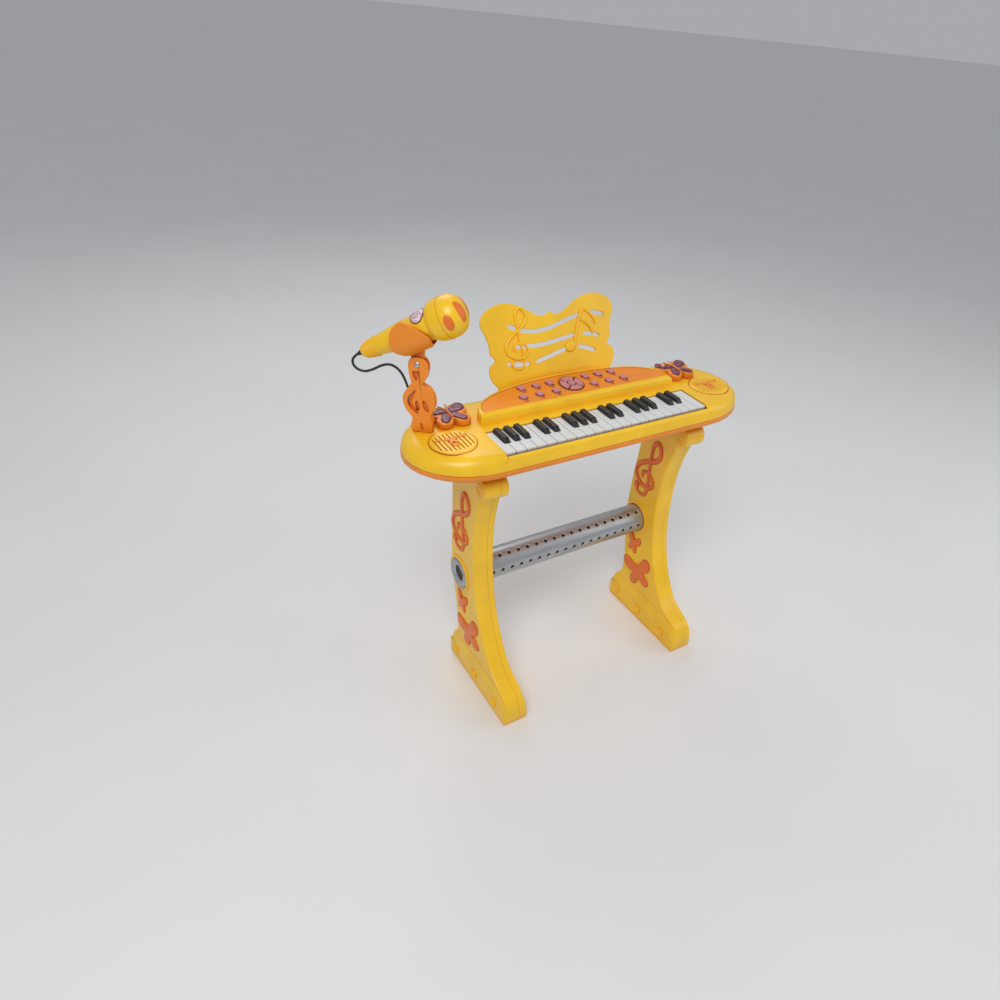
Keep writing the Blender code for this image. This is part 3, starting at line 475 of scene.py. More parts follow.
def pipe(work, path, radius, steps=12):
    """Round tube along a path of 3-D points."""
    across = (path[1] - path[0]).orthogonal().normalized()
    rings = []
    for i, knot in enumerate(path):
        run = (path[min(i + 1, len(path) - 1)] - path[max(i - 1, 0)]).normalized()
        across = (across - run * across.dot(run)).normalized()
        up = run.cross(across)
        rings.append([knot + radius * (cos(2 * pi * k / steps) * across + sin(2 * pi * k / steps) * up)
                      for k in range(steps)])
    skin(work, rings)


def ellipse(centre, half, steps=24, turn=0.0):
    out = []
    for i in range(steps):
        a = 2 * pi * i / steps
        x, y = half[0] * cos(a), half[1] * sin(a)
        out.append((centre[0] + x * cos(turn) - y * sin(turn), centre[1] + x * sin(turn) + y * cos(turn)))
    return out


def placed(points, centre, half, turn=0.0):
    """Unit outline, stretched, turned and moved to a centre."""
    out = []
    for u, v in points:
        x, y = u * half[0], v * half[1]
        out.append((centre[0] + x * cos(turn) - y * sin(turn), centre[1] + x * sin(turn) + y * cos(turn)))
    return out


def smooth_outline(points, steps=4):
    return [(p.x, p.y) for p in spline(points, steps, closed=True)]


def refined(name, look, width=0.0004, segments=2, sharp=32.0):
    """Welded copy of a CAD node with rounded edges, which is shown instead of it."""
    work = bmesh.new()
    work.from_mesh(NODES[name].data)
    bmesh.ops.remove_doubles(work, verts=work.verts, dist=1e-6)
    bmesh.ops.dissolve_limit(work, angle_limit=radians(0.8), verts=work.verts, edges=work.edges)
    made = emit(work, name + "_skin", look, NODES[name]["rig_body"], sharp)
    if width:
        rounding = made.modifiers.new("rounding", "BEVEL")
        rounding.width = width
        rounding.segments = segments
        rounding.limit_method = "ANGLE"
        rounding.angle_limit = radians(sharp)
        rounding.use_clamp_overlap = False
    level_normals(made)
    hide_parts(name)
    return made


def level_normals(made):
    """Shade large flat faces flat, beside rounded ones."""
    weights = made.modifiers.new("normals", "WEIGHTED_NORMAL")
    weights.keep_sharp = True


# ---------------------------------------------------------------- places

def world(x, y, z):
    return ORIGIN + Vector((x, y, z))


def on_panel(x, up, out=0.0):
    """Point of the panel: across, up its slope, and out of its face."""
    along = Vector((0.0, cos(HOOD_SLOPE), sin(HOOD_SLOPE)))
    normal = Vector((0.0, -sin(HOOD_SLOPE), cos(HOOD_SLOPE)))
    return world(x, HOOD_FRONT, HOOD_Z - PANEL_SUNK) + up * along + out * normal


def on_button(x, up, out=0.0):
    """Point of a button's cap, which stays clear of the panel when it is pressed."""
    return on_panel(x, up, out + MAT_PRESS + CAP_CLEAR)


def under_case(u, v, out=0.0):
    """Point under the case: across, back and down."""
    return world(u, v, CASE_BOTTOM - out)


def on_stand(u, v, out=0.0):
    """Point of the music stand's front face."""
    up = Vector((0.0, sin(STAND_LEAN), cos(STAND_LEAN)))
    front = Vector((0.0, -cos(STAND_LEAN), sin(STAND_LEAN)))
    return world(u, STAND_Y, CASE_TOP) + (v + STAND_LIFT) * up + out * front


def side_face(x, way):
    """Place on an upright face at this X, seen from outside: across, height and out."""
    return lambda u, v, out=0.0: world(x + way * out, way * u, v)


def flat_face(centre, z):
    """Place on a level face about a centre."""
    return lambda u, v, out=0.0: world(centre[0] + u, centre[1] + v, z + out)


def mic_point(s, z, q=0.0):
    """Point in the microphone's upright plane: along it, its height, and behind it."""
    along = Vector((cos(MIC_TURN), sin(MIC_TURN), 0.0))
    behind = Vector((-sin(MIC_TURN), cos(MIC_TURN), 0.0))
    return ORIGIN + MIC_PLANE + s * along + q * behind + Vector((0.0, 0.0, z))


def along_mic(a, b):
    """Place in the microphone's plane: this far from its tail, and this far above its axis."""
    return (MIC_TAIL[0] + a * cos(MIC_PITCH) - b * sin(MIC_PITCH),
            MIC_TAIL[1] + a * sin(MIC_PITCH) + b * cos(MIC_PITCH))


def mic_profile(points, steps=5):
    return [(p.x, p.y) for p in spline(points, steps)]


MIC_SKIN = mic_profile(MIC_BODY) + mic_profile(MIC_HEAD)


def mic_radius(a):
    """Radius of the microphone's skin at this distance from its tail."""
    for (a0, r0), (a1, r1) in zip(MIC_SKIN, MIC_SKIN[1:]):
        if a <= a1:
            return r0 + (r1 - r0) * max(0.0, a - a0) / (a1 - a0)
    return MIC_SKIN[-1][1]


def mic_end(b, q, out=0.0):
    """Point on the round front of the head, above the microphone's axis and towards the player."""
    radius = (b * b + q * q) ** 0.5
    a = MIC_SKIN[-1][0]
    for (a0, r0), (a1, r1) in zip(MIC_SKIN, MIC_SKIN[1:]):
        if a0 > MIC_WIDEST and r1 <= radius <= r0:
            a = a0 + (a1 - a0) * (r0 - radius) / (r0 - r1)
    return mic_point(*along_mic(a + out, b), -q)


def mic_skin(a, turn, out=0.0):
    """Point on the microphone's skin, `turn` round from its top towards the player."""
    r = mic_radius(a) + out
    return mic_point(*along_mic(a, r * cos(turn)), -r * sin(turn))


# ---------------------------------------------------------------- camera, floor and light

def camera():
    """Camera above the player's left shoulder."""
    turn, height, roll = CAMERA_TURN, CAMERA_HEIGHT, CAMERA_ROLL
    back = Vector((sin(turn) * cos(height), -cos(turn) * cos(height), sin(height)))
    level = Vector((0.0, 0.0, 1.0)).cross(back).normalized()
    rise = back.cross(level)
    right = cos(roll) * level + sin(roll) * rise
    up = cos(roll) * rise - sin(roll) * level
    lens = bpy.data.cameras.new("camera")
    lens.lens = CAMERA_LENS
    lens.sensor_width = 36.0
    lens.shift_x, lens.shift_y = CAMERA_SHIFT
    lens.clip_start = 0.01
    made = bpy.data.objects.new("camera", lens)
    bpy.context.scene.collection.objects.link(made)
    facing = Matrix((right, up, back)).transposed().to_4x4()
    made.matrix_world = Matrix.Translation(CAMERA_AT) @ facing
    bpy.context.scene.camera = made


def floor():
    """Round pale floor, far wider than the object."""
    work = bmesh.new()
    bmesh.ops.create_circle(work, cap_ends=True, segments=64, radius=FLOOR_RADIUS)
    bmesh.ops.translate(work, verts=work.verts, vec=(0.0, 0.0, -0.0002))
    emit(work, "floor", "floor")


def area_light(name, at, aim, size, power):
    lamp = bpy.data.lights.new(name, "AREA")
    lamp.shape = "DISK"
    lamp.size = size
    lamp.energy = power
    made = bpy.data.objects.new(name, lamp)
    bpy.context.scene.collection.objects.link(made)
    made.location = at
    made.rotation_euler = (Vector(at) - Vector(aim)).to_track_quat("Z", "Y").to_euler()


def lights():
    """Three soft lights and a pale sky."""
    for name, at, size, power in LIGHTS:
        area_light(name, at, LIGHT_AIM, size, power)
    sky = bpy.data.worlds.new("studio")
    sky.use_nodes = True
    back = sky.node_tree.nodes["Background"]
    back.inputs["Color"].default_value = SKY
    back.inputs["Strength"].default_value = SKY_STRENGTH
    bpy.context.scene.world = sky
    bpy.context.scene.view_settings.view_transform = "Standard"


# ---------------------------------------------------------------- cord


def microphone_cord():
    """Cord in two stretches that meet in its free loop."""
    steps = 4
    path = [mic_point(*p) for p in spline(CORD_ROUTE, steps)]
    meet = CORD_SPLIT * steps
    stretches = (("mic_cord_loop", path[:meet + 1], "microphone", "cradle"),
                 ("mic_cord_drop", path[meet:], "cradle", "keyboard"))
    for name, part, first, second in stretches:
        work = bmesh.new()
        pipe(work, part, CORD_DIAMETER / 2)
        made = emit(work, name, "rubber")
        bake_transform(made)
        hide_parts("mic_cord")


def strain_relief():
    """Tapered, ribbed sleeve where the cord leaves the microphone's tail."""
    work = bmesh.new()
    start = mic_point(*along_mic(0.0006, 0.0))
    back = mic_point(*along_mic(-1.0, 0.0)) - mic_point(*along_mic(0.0, 0.0))
    profile = [(0.0, 0.0036), (0.0006, 0.0038)]
    for i in range(4):
        at, radius = 0.0012 + 0.0014 * i, 0.0034 - 0.0004 * i
        profile += [(at, radius), (at + 0.0005, radius), (at + 0.0007, radius - 0.0004),
                    (at + 0.0012, radius - 0.0004)]
    profile += [(0.0070, 0.0019), (0.0072, 0.0015)]
    turned(work, start, back, profile, 20)
    emit(work, "strain_relief", "rubber", "microphone")


# ---------------------------------------------------------------- keys

def keys():
    for name in NODES:
        if name.startswith("white_key"):
            refined(name, "white", 0.0006, 3)
        elif name.startswith("black_key"):
            refined(name, "black", 0.0007, 3)


# ---------------------------------------------------------------- case

def case():
    """Both casings, the battery cover and the board, with the roll along the front rail."""
    refined("upper_case", "yellow", 0.0003, 2)
    refined("lower_case", "orange", 0.0, 2, 40.0)
    refined("battery_cover", "orange", 0.0004, 2)
    refined("circuit_board", "board", 0.0)
    front = flat_face((0.0, RAIL_Y), RAIL_TOP)
    work = bmesh.new()
    line = [(x, 0.0) for x in (-RAIL_HALF, -0.05, 0.05, RAIL_HALF)]
    ribbon(work, front, line, ROLL_HALF, ROLL_HEIGHT, taper=1.0)
    emit(work, "front_roll", "yellow", "keyboard")
    inlet()
    underside()


def inlet():
    """Socket for the power lead, in the back of the case."""
    work = bmesh.new()
    at = world(*INLET_AT) + Vector((0.0, 0.0006, 0.0))
    turned(work, at, (0.0, -1.0, 0.0), INLET_PROFILE, 24)
    emit(work, "power_socket", "dark", "keyboard")


def screw(work, at, out, radius):
    """Screw head with the two bars of a cross on it, square to `out`."""
    profile = [(-0.0006, radius), (0.0004, radius), (0.0009, radius * 0.8), (0.0011, radius * 0.3)]
    turned(work, at, out, profile, 20)
    axis = Vector(out).normalized()
    u = axis.orthogonal().normalized()
    for run in (u, axis.cross(u)):
        wide = axis.cross(run)
        ends = []
        for way in (-0.55, 0.55):
            middle = at + run * way * radius
            ends.append([middle + wide * s * radius + axis * h
                         for s, h in ((-0.1, 0.0005), (0.1, 0.0005), (0.1, 0.0013), (-0.1, 0.0013))])
        skin(work, ends)


def underside():
    """Screws and the ridges of the battery cover, under the case."""
    down = (0.0, 0.0, -1.0)
    screws = bmesh.new()
    for x in SCREWS_X:
        for y in SCREWS_Y:
            screw(screws, world(x, y, CASE_BOTTOM), down, SCREW_RADIUS)
    screw(screws, world(0.0, COVER_SCREW_Y, CASE_BOTTOM), down, COVER_SCREW_RADIUS)
    emit(screws, "case_screws", "steel", "keyboard")
    ridges = bmesh.new()
    for i in range(RIDGES):
        y = RIDGE_FIRST + RIDGE_PITCH * i
        line = [(x, y) for x in (-0.036, -0.012, 0.012, 0.036)]
        ribbon(ridges, under_case, line, 0.0008, 0.0006)
    emit(ridges, "battery_ridges", "orange", "keyboard")


# ---------------------------------------------------------------- hood, panel and controls

def hood_line(margin, steps=32):
    """The hood's outline on the panel's slope, this far inside its edge."""
    half, depth = HOOD_HALF - margin, HOOD_BACK - HOOD_FRONT - 2 * margin
    slope = cos(HOOD_SLOPE)
    return [(half * cos(pi * i / steps), (margin + depth * sin(pi * i / steps) ** 0.8) / slope)
            for i in range(steps + 1)]


def loop_ribbon(work, place, outline, half, height):
    """Closed ridge along an outline's own points."""
    ribbon(work, place, outline, half, height, steps=1, closed=True)


def button_places(way):
    """Row and place on the panel of each button on one side."""
    for row, (up, places) in enumerate(zip(ROW_UP, BUTTON_ROWS)):
        for x in places:
            yield row, (way * x, up)


def panel():
    """Inset panel with its rim, the marks at the buttons and the dial, and painted shade lines along the
    panel's inner edge and round each button.
    """
    refined("control_panel", "orange", 0.0002, 2)
    rims = bmesh.new()
    loop_ribbon(rims, on_panel, hood_line(PANEL_MARGIN - 0.0010), 0.0007, PANEL_SUNK + 0.0007)
    emit(rims, "panel_rim", "yellow", "keyboard")
    lines, edges = bmesh.new(), bmesh.new()
    # Painted shade lines: along the panel's inner edge here, and round each button below
    loop_ribbon(edges, on_panel, hood_line(PANEL_MARGIN + 0.0006), 0.0004, EDGE_HEIGHT)
    for way in (1, -1):
        for _, (x, up) in button_places(way):
            low = up - DASH_DROP
            dash = [(x - DASH_HALF, low), (x, low), (x + DASH_HALF, low)]
            ribbon(lines, on_panel, dash, 0.0006, 0.0004)
            ring = ellipse((x, up), (BUTTON_RADIUS + 0.0009,) * 2)
            loop_ribbon(edges, on_panel, ring, 0.0003, EDGE_HEIGHT)
    reach = DIAL_RADIUS + 0.0022
    for first in (0.25, 1.25, 2.25, 3.25):
        turns = [first + 0.25 * i for i in range(5)]
        arc = [(reach * cos(a), DIAL_UP + reach * sin(a)) for a in turns]
        ribbon(lines, on_panel, arc, 0.0003, 0.0001)
    emit(lines, "panel_marks", "dark", "keyboard")
    emit(edges, "panel_painted_shade_lines", "shade", "keyboard")
    panel_led()


BUTTERFLY = ((0.0, -0.55), (0.12, -0.70), (0.36, -1.00), (0.66, -0.92), (0.70, -0.58), (0.50, -0.24),
             (0.40, -0.06), (0.72, 0.02), (1.00, 0.36), (0.98, 0.80), (0.68, 0.98), (0.30, 0.68),
             (0.10, 0.42), (0.0, 0.58))


def mirrored(half):
    """Whole outline from its right half."""
    return list(half) + [(-u, v) for u, v in reversed(half[1:-1])]


def butterfly(centre, half, turn=0.0, steps=4):
    """Outline of a butterfly with open wings."""
    return smooth_outline(placed(mirrored(BUTTERFLY), centre, half, turn), steps)


def flower(centre, radius, petals=5):
    """Outline of a round flower."""
    out = []
    for i in range(40):
        a = 2 * pi * i / 40
        r = radius * (0.82 + 0.18 * cos(petals * (a - pi / 2)))
        out.append((centre[0] + r * cos(a), centre[1] + r * sin(a)))
    return out


def panel_led():
    """Small star over the panel's light."""
    star = bmesh.new()
    tips = []
    for i in range(10):
        r = LED_RADII[i % 2]
        tips.append((LED_AT[0] + r * cos(pi * i / 5), LED_AT[1] + r * sin(pi * i / 5)))
    pillow(star, on_panel, tips, 0.0011)
    emit(star, "panel_led", "yellow", "keyboard")


def buttons():
    """Soft mats: six caps on each, on stems that go down to the sheet."""
    for word, way in SIDES:
        work = bmesh.new()
        skin(work, [[on_panel(way * x, up, out) for x, up in MAT_OUTLINE] for out in (MAT_LOW, MAT_TOP)])
        for row, at in button_places(way):
            stem = ellipse(at, (BUTTON_RADIUS * 0.8,) * 2)
            skin(work, [[on_panel(u, v, out) for u, v in stem] for out in (MAT_TOP, MAT_PRESS + 0.0006)])
            if row == 0:
                shape = butterfly(at, (BUTTON_RADIUS * 1.04,) * 2)
            else:
                shape = flower(at, BUTTON_RADIUS * 1.05)
            pillow(work, on_button, shape, CAP_HEIGHT, 0.0)
        made = emit(work, f"{word}_buttons", "pink", f"{word}_mat")
        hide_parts(f"{word}_button_mat")


def dial():
    """Ring of four sectors about the power button."""
    ring = bmesh.new()
    inner, outer = POWER_RADIUS + 0.0014, DIAL_RADIUS - 0.0008
    for quarter in range(4):
        first = pi / 4 + quarter * pi / 2 + SECTOR_GAP / 2
        sweep = pi / 2 - SECTOR_GAP
        arc = [first + sweep * i / 12 for i in range(13)]
        outline = [(outer * cos(a), DIAL_UP + outer * sin(a)) for a in arc]
        outline += [(inner * cos(a), DIAL_UP + inner * sin(a)) for a in reversed(arc)]
        pillow(ring, on_panel, outline, 0.0021, 0.0030)
    emit(ring, "dial_sectors", "pink", "dial")
    base = bmesh.new()
    hole = POWER_RADIUS + 0.0006
    turned_on_panel(base, [(-0.0030, hole), (0.0008, hole), (0.0008, DIAL_RADIUS), (-0.0030, DIAL_RADIUS),
                           (-0.0030, hole)])
    made = emit(base, "dial_base", "maroon", "dial")
    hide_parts("mode_dial")
    cap = bmesh.new()
    turned_on_panel(cap, [(-0.0034, POWER_RADIUS), (0.0016, POWER_RADIUS), (0.0023, POWER_RADIUS * 0.92),
                          (0.0026, POWER_RADIUS * 0.75), (0.0024, POWER_RADIUS * 0.5), (0.0023, 0.0002)])
    made = emit(cap, "power_cap", "pink", "power")
    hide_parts("power_button")


def turned_on_panel(work, profile):
    """Body turned about the dial's axis, from heights out of the panel and radii."""
    centre = on_panel(0.0, DIAL_UP)
    normal = on_panel(0.0, DIAL_UP, 1.0) - centre
    u, v = Vector((1.0, 0.0, 0.0)), normal.cross(Vector((1.0, 0.0, 0.0)))
    rings = [[centre + out * normal + radius * (cos(2 * pi * i / 48) * u + sin(2 * pi * i / 48) * v)
              for i in range(48)] for out, radius in profile]
    skin(work, rings, caps=profile[0] != profile[-1])


# ---------------------------------------------------------------- lamps and grilles

PETAL_UPPER = ((0.07, 0.12), (0.40, 0.06), (0.72, 0.12), (0.91, 0.40), (0.90, 0.74), (0.68, 0.88),
               (0.34, 0.62), (0.12, 0.36))
PETAL_LOWER = ((0.07, -0.02), (0.34, -0.04), (0.44, -0.26), (0.60, -0.60), (0.58, -0.84), (0.38, -0.90),
               (0.18, -0.66), (0.06, -0.40))


def lamps():
    """Butterfly lamps: lenses with rims, a body with feelers, and a painted highlight, a raised yellow spot
    on a lens.
    """
    wide, deep = LAMP_HALF
    for word, way in SIDES:
        refined(f"{word}_lamp", "orange", 0.0012, 3)
        top = flat_face((way * LAMP_AT[0], LAMP_AT[1]), CASE_TOP + LAMP_RISE)
        outlines, petals, ridge, spot = (bmesh.new() for _ in range(4))
        for side in (1, -1):
            for petal in (PETAL_UPPER, PETAL_LOWER):
                shape = smooth_outline([(side * u * wide, v * deep) for u, v in petal])
                pillow(petals, top, shape, LENS_HEIGHT)
                loop_ribbon(outlines, top, shape, 0.0006, 0.0010)
            feeler = [(0.0, 0.38), (side * 0.10, 0.66), (side * 0.20, 0.86), (side * 0.16, 0.98)]
            ribbon(ridge, top, [(u * wide, v * deep) for u, v in feeler], 0.0008, 0.0012)
        ribbon(ridge, top, [(0.0, v * deep) for v in (-0.5, -0.1, 0.42)], 0.0014, 0.0024)
        # Painted highlight: a raised yellow spot on the lens
        pillow(spot, top, ellipse(HIGHLIGHT_AT, HIGHLIGHT_HALF, 20, 0.5), 0.0021)
        emit(outlines, f"{word}_lens_rims", "maroon", "keyboard")
        emit(petals, f"{word}_lens", "lens", "keyboard")
        emit(ridge, f"{word}_lamp_ridge", "orange", "keyboard")
        emit(spot, f"{word}_lens_painted_highlight", "yellow", "keyboard")


def grilles():
    """Motifs on the speaker grilles, a painted shade line round each and the cloth under its slots."""
    for word, way in SIDES:
        centre = (way * GRILLE_AT[0], GRILLE_AT[1])
        top = flat_face(centre, CASE_TOP + GRILLE_RISE)
        motifs = bmesh.new()
        pillow(motifs, top, butterfly((0.0, 0.0020), (0.0080, 0.0070)), 0.0014)
        pillow(motifs, top, ellipse((0.0, -0.0085), (0.0050, 0.0026)), 0.0010)
        for side in (1, -1):
            pillow(motifs, top, flower((side * 0.0150, 0.0070), 0.0032), 0.0011)
        emit(motifs, f"{word}_grille_motifs", "orange", "keyboard")
        # Painted shade: a thin dark line where the grille meets the case
        ring = bmesh.new()
        circle = ellipse((0.0, 0.0), (GRILLE_RADIUS + 0.0005,) * 2, 64)
        loop_ribbon(ring, flat_face(centre, CASE_TOP), circle, 0.00045, 0.0004)
        emit(ring, f"{word}_grille_painted_shade_line", "shade", "keyboard")
        cloth = bmesh.new()
        disc = ellipse((0.0, 0.0), (CLOTH_RADIUS, CLOTH_RADIUS), 32)
        pillow(cloth, flat_face(centre, CASE_TOP - CLOTH_DROP), disc, 0.0008)
        emit(cloth, f"{word}_speaker_cloth", "dark", "keyboard")


# ---------------------------------------------------------------- music stand

CLEF = ((-0.10, -0.40), (-0.16, -0.26), (0.00, -0.14), (0.22, -0.20), (0.30, -0.40), (0.14, -0.60),
        (-0.14, -0.62), (-0.38, -0.42), (-0.36, -0.12), (-0.14, 0.16), (0.14, 0.42), (0.24, 0.70),
        (0.14, 0.94), (0.02, 0.98), (-0.08, 0.80), (-0.06, 0.50), (0.02, 0.05), (0.12, -0.45),
        (0.16, -0.78), (0.04, -0.96), (-0.16, -0.94), (-0.22, -0.80))


def clef(work, place, centre, half, turn, width, height):
    """Raised clef with a round end."""
    points = placed(CLEF, centre, half, turn)
    ribbon(work, place, points, width, height, taper=0.6)
    pillow(work, place, ellipse(points[-1], (width * 1.5, width * 1.5), 16), height)


def music_stand():
    """Music stand with a raised clef, and a note with a stem and two flags."""
    refined("music_stand", "yellow", 0.0006, 3)
    work = bmesh.new()
    clef(work, on_stand, (-0.0495, 0.0610), (0.0460, 0.0370), -0.10, 0.0019, 0.0022)
    pillow(work, on_stand, ellipse(NOTE_HEAD_AT, NOTE_HEAD_HALF, 24, 0.35), 0.0026)
    ribbon(work, on_stand, NOTE_STEM, 0.0017, 0.0024, taper=0.9)
    top, high = NOTE_STEM[-1]
    for drop in FLAG_DROPS:
        x, y = top - 0.40 * drop, high - drop
        flag = [(x, y), (x + 0.0085, y - 0.0045), (x + 0.0165, y - 0.0125), (x + 0.0190, y - 0.0215)]
        ribbon(work, on_stand, flag, 0.0019, 0.0022, taper=0.35)
    emit(work, "stand_reliefs", "yellow", "stand")


# ---------------------------------------------------------------- legs and tube

def leg_outline():
    """Outline of a leg from its side, anticlockwise with the front on its left."""
    back = [(p.x, p.y) for p in spline(LEG_BACK, 4)]
    front = [(p.x, p.y) for p in spline(LEG_FRONT, 4)]
    return back + front


def inset(outline, by):
    """An outline moved inwards, which runs with its inside on its left."""
    out = []
    count = len(outline)
    for i, point in enumerate(outline):
        here = Vector(point)
        before = (here - Vector(outline[i - 1])).normalized()
        after = (Vector(outline[(i + 1) % count]) - here).normalized()
        move = by / (1 + before.dot(after))
        out.append((here.x - (before.y + after.y) * move, here.y + (before.x + after.x) * move))
    return out


def rounded_slab(work, outline, seam, face, radius, steps=4):
    """Slab in Y and Z from a seam to a face, whose outer edge is rounded."""
    way = 1 if face > seam else -1
    rings = [[world(seam, y, z) for y, z in outline]]
    for i in range(steps + 1):
        a = pi / 2 * i / steps
        ring = [y for y, z in inset(outline, radius * (1 - cos(a)))]
        rings.append([world(face - way * radius * (1 - sin(a)), y, z) for y, (_, z) in zip(ring, outline)])
    skin(work, rings)


def foot(work, seam, face, way):
    """Foot that stands proud of the leg's face, with a slope along its top."""
    edge = face + way * FOOT_EXTRA
    step = way * 0.0004
    rings = [[world(seam, *p) for p in FOOT_HIGH], [world(face + step, *p) for p in FOOT_HIGH],
             [world(edge - step, *p) for p in FOOT_LOW],
             [world(edge, y, max(z - 0.0006, 0.0)) for y, z in FOOT_LOW]]
    skin(work, rings)


def leg_half(name, seam, face):
    """One moulded half of a leg, with its foot, scroll and tube ring."""
    way = 1 if face > seam else -1
    deep = abs(face - seam)
    axis = (way, 0.0, 0.0)
    work = bmesh.new()
    rounded_slab(work, leg_outline(), seam, face, LEG_ROUND)
    foot(work, seam, face, way)
    turned(work, world(seam, *SCROLL_AT), axis,
           [(0.0, SCROLL_RADIUS), (deep, SCROLL_RADIUS), (deep + 0.0008, SCROLL_RADIUS - 0.0008),
            (deep + 0.001, SCROLL_RADIUS - 0.0020)], 40)
    ring, bore = TUBE_RADIUS + RING_WIDTH, TUBE_RADIUS + RING_ROOM
    turned(work, world(seam, *TUBE_AT), axis,
           [(0.0, ring), (deep + 0.0012, ring), (deep + 0.0018, ring - 0.0006),
            (deep + 0.0020, ring - 0.0014), (deep + 0.0020, TUBE_RADIUS + 0.0014), (deep + 0.0010, bore),
            (deep - 0.0040, bore)], 48)
    made = emit(work, name + "_skin", "yellow", "keyboard")
    level_normals(made)
    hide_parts(name)


# Layers of the leg reliefs: look, growth, height and profile; the first layer is painted shade round the
# foot of each relief
RELIEF_LAYERS = (("shade", 0.0010, 0.0007, FLAT), ("deep", 0.0, 0.0028, DOME))


def leg_reliefs(name, face, way):
    """Raised decorations on one outer face of a leg, each over a wider, low layer of painted shade that
    outlines it.
    """
    place = side_face(face, way)
    for look, grow, height, profile in RELIEF_LAYERS:
        work = bmesh.new()
        clef(work, place, (way * -0.002, 0.2690), (0.0600, 0.0500), way * 0.18, 0.0032 + grow, height)
        small = butterfly((way * 0.0005, 0.1305), (0.0135 + grow, 0.0165 + grow), way * 0.12)
        big = butterfly((way * -0.0200, 0.0860), (0.0325 + grow, 0.0240 + grow), way * -0.42)
        pillow(work, place, small, height, profile=profile)
        pillow(work, place, big, height, profile=profile)
        emit(work, f"{name}_{look}", look, "keyboard")
    curl = bmesh.new()
    turns = []
    for i in range(CURL_STEPS + 1):
        r = CURL_START + CURL_GROWTH * i / CURL_STEPS
        turns.append((way * SCROLL_AT[0] + r * cos(0.5 * i), SCROLL_AT[1] + r * sin(0.5 * i)))
    ribbon(curl, side_face(face + way * 0.001, way), turns, 0.0010, 0.0009, steps=2)
    emit(curl, name + "_curl", "yellow", "keyboard")


def bosses(name, x, way):
    """Three round bosses with a hollow, on one face of a foot."""
    work = bmesh.new()
    for y, z in BOSSES_AT:
        turned(work, world(x, y, z), (way, 0.0, 0.0), BOSS_PROFILE, 32)
    emit(work, name, "yellow", "keyboard")


def legs():
    """Both legs, each in two halves, with decorations and bosses on both faces."""
    inner = LEG_OUT - LEG_WIDTH
    for word, left, right in (("left", -LEG_OUT, -inner), ("right", inner, LEG_OUT)):
        seam = right - COVER_WIDTH
        leg_half(f"{word}_leg_shell", seam, left)
        leg_half(f"{word}_leg_cover", seam + SEAM, right)
        leg_reliefs(f"{word}_leg_left_reliefs", left, -1)
        leg_reliefs(f"{word}_leg_right_reliefs", right, 1)
        bosses(f"{word}_foot_left_bosses", left - FOOT_EXTRA, -1)
        bosses(f"{word}_foot_right_bosses", right + FOOT_EXTRA, 1)


def tube_point(x, turn, radius=TUBE_RADIUS):
    """Point of the tube: along it, and round it from its top towards the back."""
    return world(x, TUBE_AT[0] + radius * sin(turn), TUBE_AT[1] + radius * cos(turn))


def tube():
    """Perforated tube: a sheet of cells, each with a round hole, rolled up and thickened."""
    work = bmesh.new()
    side, step = 6, 2 * pi / HOLE_ROWS
    start = -HOLE_COLUMNS * HOLE_PITCH / 2
    ticks = [-1.0 + 2 * i / side for i in range(side)]
    edge = [(-1.0, tick) for tick in ticks] + [(tick, 1.0) for tick in ticks]
    edge += [(-u, -v) for u, v in edge]
    for row in range(HOLE_ROWS):
        for column in range(HOLE_COLUMNS):
            x = start + (column + 0.5) * HOLE_PITCH
            turn = (row + 0.5) * step
            rings = []
            for share in (1.0, 0.7, 0.4, 0.15, 0.0):
                ring = []
                for u, v in edge:
                    reach = (u * u + v * v) ** 0.5 / HOLE_RADIUS
                    across = share * u * HOLE_PITCH / 2 + (1 - share) * u / reach
                    round_it = share * v * step / 2 + (1 - share) * v / reach / TUBE_RADIUS
                    ring.append(tube_point(x + across, turn + round_it))
                rings.append(ring)
            skin(work, rings, caps=False)
    for way in (1, -1):
        ring = [[tube_point(x, step * i / side) for i in range(side * HOLE_ROWS)]
                for x in (-way * start, way * TUBE_HALF)]
        skin(work, ring, caps=False)
    bmesh.ops.remove_doubles(work, verts=work.verts, dist=1e-5)
    made = emit(work, "cross_tube_skin", "silver", "keyboard", 60.0)
    wall = made.modifiers.new("wall", "SOLIDIFY")
    wall.thickness = TUBE_RADIUS - TUBE_BORE
    wall.offset = -1.0
    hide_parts("cross_tube")
    plugs()


def plugs():
    """End plugs of the tube, each with a hexagonal socket whose floor is a dark disc of painted shade."""
    work, socket_shade = bmesh.new(), bmesh.new()
    for way in (1, -1):
        rings = []
        for out, radius, sides in PLUG_RINGS:
            ring = []
            for i in range(48):
                a = 2 * pi * i / 48
                r = radius
                if sides == 6:
                    r = radius * cos(pi / 6) / cos((a % (pi / 3)) - pi / 6)
                ring.append(tube_point(way * (TUBE_HALF + out), a, r))
            rings.append(ring)
        skin(work, rings)
        # Painted shade: a dark disc on the floor of the socket
        out = world(way * (TUBE_HALF - 0.0032), *TUBE_AT)
        turned(socket_shade, out, (way, 0.0, 0.0), SOCKET_PROFILE, 6)
    emit(work, "tube_plugs", "silver", "keyboard", 25.0)
    emit(socket_shade, "tube_socket_painted_shade", "dark", "keyboard")


# ---------------------------------------------------------------- microphone

def mic_turned(work, profile, steps=48):
    """Body turned about the microphone's axis, from distances along it and radii."""
    rings = []
    for a, radius in profile:
        ring = []
        for i in range(steps):
            turn = 2 * pi * i / steps
            ring.append(mic_point(*along_mic(a, radius * cos(turn)), radius * sin(turn)))
        rings.append(ring)
    skin(work, rings)


